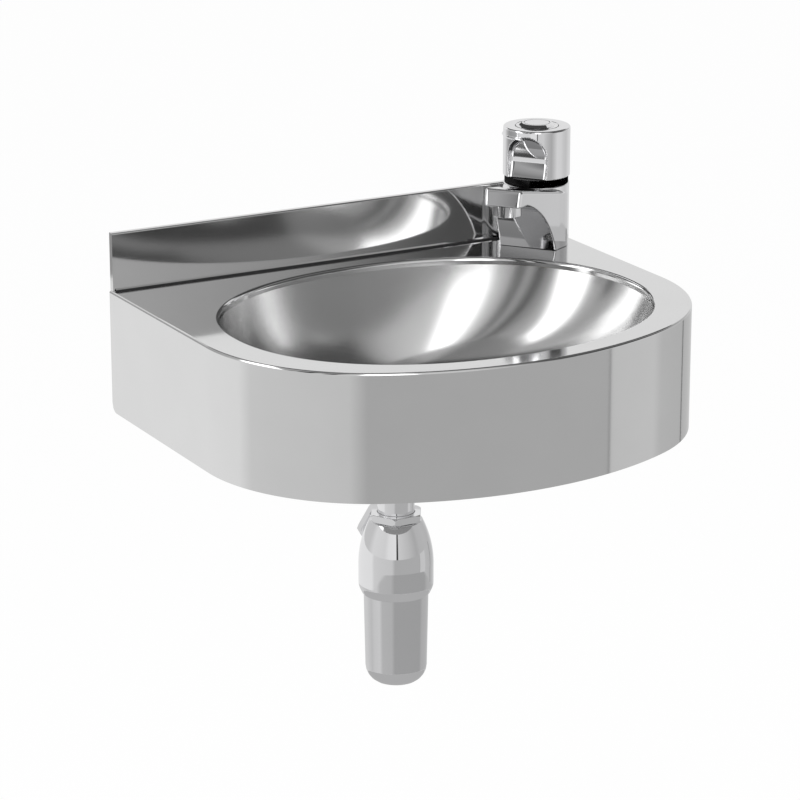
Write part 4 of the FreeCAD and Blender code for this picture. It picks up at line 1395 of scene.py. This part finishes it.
@dataclass
class Studio:
    """Pale floor, soft lamps, toned bands and the camera.

    Sizes are in metres and angles in degrees, and the camera's lens and sensor are in millimetres.
    """
    floor_drop: float = 0.85
    floor_size: float = 14.0
    floor_paint: float = 0.9
    floor_roughness: float = 0.6
    floor_mottle: float = 0.1
    floor_mottle_scale: float = 3.0
    floor_glow: float = 1.03
    glow_share: float = 0.9
    world_on_object: float = 0.75
    middle: tuple[float, float, float] = (0.0, -0.2, 0.0)
    bands: tuple[Band, ...] = (
        Band("low", -0.585, -0.15, (
            (-20, 0.84), (30, 0.86), (48, 0.68), (60, 0.56), (76.6, 0.50), (77.1, 0.12), (78.1, 0.12),
            (78.6, 0.50), (103, 0.54), (107, 0.63), (127.0, 0.61), (127.4, 0.32), (128.0, 0.32),
            (128.4, 0.46), (214, 0.45), (224, 0.62), (270, 0.66), (283, 0.68), (292, 0.82), (340, 0.84))),
        Band("lower", -0.80, -0.585, (
            (-20, 0.66), (20, 0.66), (60, 0.50), (96, 0.46), (108, 0.38), (216, 0.38), (228, 0.48),
            (264, 0.50), (276, 0.65), (300, 0.62), (312, 0.56), (340, 0.66))),
        Band("high", -0.15, 0.04, (
            (-20, 0.40), (0, 0.80), (50, 0.75), (66, 0.72), (84, 0.60), (96, 0.64), (106, 0.71), (122, 0.73),
            (134, 0.58), (146, 0.44), (158, 0.50), (170, 0.58), (180, 0.68), (202, 0.68), (203, 0.10),
            (206, 0.10), (207, 0.83), (230, 0.82), (242, 0.72), (280, 0.78), (290, 0.62), (300, 0.38),
            (330, 0.32), (340, 0.40))),
        Band("under", -0.203, -0.108, (
            (-20, 0.60), (0, 0.70), (50, 0.62), (84, 0.50), (106, 0.52), (134, 0.50), (146, 0.44),
            (170, 0.55), (202, 0.66), (203, 0.05), (207, 0.05), (208, 0.83), (230, 0.80), (242, 0.70),
            (280, 0.74), (300, 0.60), (340, 0.60)), 0.165, middle=(0.0, -0.1065, 0.0)),
        Band("dome", 2.0, 60.0, (
            (60, 0.6), (94, 0.35), (104, 0.09), (146, 0.09), (152, 0.36), (164, 0.58), (176, 0.68),
            (192, 0.68), (195, 2.3), (213, 2.3), (218, 0.66), (229, 0.56), (231, 0.04), (237, 0.04),
            (239, 0.60), (243, 0.55), (245, 0.03), (252, 0.03), (254, 0.40), (258, 0.22),
            (262, 0.40), (300, 0.50), (320, 0.40), (336, 0.45), (344, 0.90), (360, 0.84), (420, 0.78)),
            2.3, True),
        Band("left_window", 2.0, 56.0, ((261, 0.6), (264, 2.3), (288, 2.3), (293, 0.7)), 2.2, True, 34.0),
        Band("top", 58.0, 90.0, ((0, 0.30), (170, 0.26), (186, 0.50), (216, 0.50), (236, 0.22), (360, 0.30)),
             2.4, True),
        Band("dark_right", 30.0, 88.0, ((40, 0.30), (43, 0.06), (84, 0.06), (92, 0.40)), 2.1, True),
        Band("dark_left", 30.0, 88.0, ((-18, 0.40), (-12, 0.06), (12, 0.06), (15, 0.30)), 2.1, True),
        Band("dark_rear", 25.0, 53.0, ((14, 0.05), (41, 0.05)), 2.1, True),
        Band("dark_above", 66.0, 88.0, ((14, 0.05), (41, 0.05)), 2.1, True),
    )
    card_tone: float = 0.46
    card_above_floor: float = 0.01
    card_step: int = 6
    lamp_size: float = 1.6
    lamps: tuple[tuple[str, tuple[float, float, float], float], ...] = (
        ("key", (-1.6, -1.8, 2.6), 30.0), ("fill", (2.2, -1.4, 1.8), 14.0))
    camera_place: tuple[float, float, float] = (-1.30141, -2.48661, 0.78268)
    camera_azimuth: float = 28.743
    camera_fall: float = 17.340
    camera_roll: float = -0.025
    lens: float = 150.63
    sensor: float = 36.0
    farthest: float = 60.0

    def build(self) -> None:
        """Makes the whole studio."""
        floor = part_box("deck_and_apron")[1][2] - self.floor_drop
        self._world()
        self._floor(floor)
        self._floor_card(floor + self.card_above_floor)
        for band in self.bands:
            self._band(band)
        self._lamps()
        self._camera()

    @staticmethod
    def _stage(mesh: bpy.types.Mesh, material: bpy.types.Material) -> bpy.types.Object:
        """Adds a studio object that isn't part of the basin."""
        mesh.materials.append(material)
        thing = bpy.data.objects.new(mesh.name, mesh)
        bpy.context.collection.objects.link(thing)
        return thing

    @staticmethod
    def _flat(name: str, corners: list[tuple[float, float, float]]) -> bpy.types.Mesh:
        """One flat face."""
        mesh = bpy.data.meshes.new(name)
        mesh.from_pydata(corners, [], [tuple(range(len(corners)))])
        return mesh

    @staticmethod
    def _looked_at(shader: Shader) -> Value:
        """1 for rays that look at the background, straight on or in a mirror or glass."""
        rays = shader.node("ShaderNodeLightPath")
        return (rays["Is Camera Ray"] + rays["Is Glossy Ray"] + rays["Is Transmission Ray"]).between(0.0, 1.0)

    def _world(self) -> None:
        """Pale surroundings that light the object a little less than they show."""
        world = bpy.data.worlds.new("white_room")
        bpy.context.scene.world = world
        shader = Shader(world)
        diffuse = shader.node("ShaderNodeLightPath")["Is Diffuse Ray"]
        strength = shader.node("ShaderNodeMapRange", {},
                               {"Value": diffuse, "To Min": 1.0, "To Max": self.world_on_object})[0]
        shader.show(shader.node("ShaderNodeBackground", {}, {"Strength": strength})[0])

    def _floor(self, height: float) -> None:
        """Plain pale floor far below the basin, which keeps a soft shadow."""
        size = self.floor_size
        mesh = self._flat("studio_floor", [(-size, -size, height), (size, -size, height),
                                           (size, size, height), (-size, size, height)])
        shader = Shader.named("pale_floor")
        grain = shader.noise(shader.place(), self.floor_mottle_scale)
        paint = shader.surface(Base_Color=grey(self.floor_paint),
                               Roughness=self.floor_roughness + grain * self.floor_mottle)
        glow = shader.glow(grey(1.0), self.floor_glow)
        share = self._looked_at(shader) * self.glow_share
        shader.show(shader.node("ShaderNodeMixShader", {}, {0: share, 1: paint, 2: glow})[0])
        self._stage(mesh, shader.owner)

    def _floor_card(self, height: float) -> None:
        """Round grey card just above the floor, which shades what the trap's foot mirrors."""
        turns = np.radians(np.arange(0, 360, self.card_step))
        x, y, _ = self.middle
        mesh = self._flat("band_floor", [(x + math.sin(turn), y + math.cos(turn), height) for turn in turns])
        shader = Shader.named("band_floor")
        shader.show(shader.glow(grey(self.card_tone)))
        self._mirrors_only(self._stage(mesh, shader.owner))

    def _band(self, band: Band) -> None:
        """Shows one band."""
        shader = Shader.named("band_" + band.name)
        shader.show(shader.glow(shader.node("ShaderNodeVertexColor", {"layer_name": "tone"})["Color"]))
        self._mirrors_only(self._stage(band.mesh(), shader.owner))

    @staticmethod
    def _mirrors_only(thing: bpy.types.Object) -> None:
        """Hides a studio object from everything but mirrors."""
        thing.visible_camera = False
        thing.visible_diffuse = False
        thing.visible_shadow = False
        thing.visible_transmission = False

    def _lamps(self) -> None:
        """Large soft lamps, which mirrors don't see."""
        for name, place, power in self.lamps:
            light = bpy.data.lights.new("lamp_" + name, "AREA")
            light.shape = "SQUARE"
            light.size = self.lamp_size
            light.energy = power
            lamp = bpy.data.objects.new("lamp_" + name, light)
            lamp.location = place
            lamp.rotation_euler = (Vector(self.middle) - Vector(place)).to_track_quat("-Z", "Y").to_euler()
            lamp.visible_glossy = False
            bpy.context.collection.objects.link(lamp)

    def _camera(self) -> None:
        """Camera at the photograph's angle."""
        angles = self.camera_azimuth, self.camera_fall, self.camera_roll
        azimuth, fall, roll = (math.radians(angle) for angle in angles)
        ahead = math.cos(fall)
        look = Vector((math.sin(azimuth) * ahead, math.cos(azimuth) * ahead, -math.sin(fall)))
        right = look.cross(Vector((0.0, 0.0, 1.0))).normalized()
        up = right.cross(look)
        side = math.cos(roll) * right + math.sin(roll) * up
        head = math.cos(roll) * up - math.sin(roll) * right
        lens = bpy.data.cameras.new("camera")
        lens.lens = self.lens
        lens.sensor_width = self.sensor
        lens.clip_end = self.farthest
        camera = bpy.data.objects.new("camera", lens)
        rotation = Matrix((side, head, -look)).transposed().to_4x4()
        camera.matrix_world = Matrix.Translation(self.camera_place) @ rotation
        bpy.context.collection.objects.link(camera)
        bpy.context.scene.camera = camera


def main() -> None:
    """Builds the pieces in order."""
    logging.basicConfig(level=logging.INFO, format="%(name)s: %(message)s")
    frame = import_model()
    bpy.context.scene.view_settings.view_transform = "Standard"
    work = Work(frame["nodes"], frame["record"])
    basin = Basin(work)
    trap = BottleTrap(work)
    tap = PushTap(work, basin)
    makers = (basin.make_skin, basin.make_bend, basin.make_seam, basin.make_bowl,
              trap.make_bell, trap.make_nut, trap.make_cup,
              tap.make_body, tap.make_head, tap.make_ring, tap.make_button)
    made = [make() for make in makers]
    LOG.info("%d new pieces", len(made))
    for name in sorted(set(frame["nodes"]) - work.replaced):
        work.dress(name)
    tap.fit_spring()
    Studio().build()


if __name__ == "__main__":
    main()
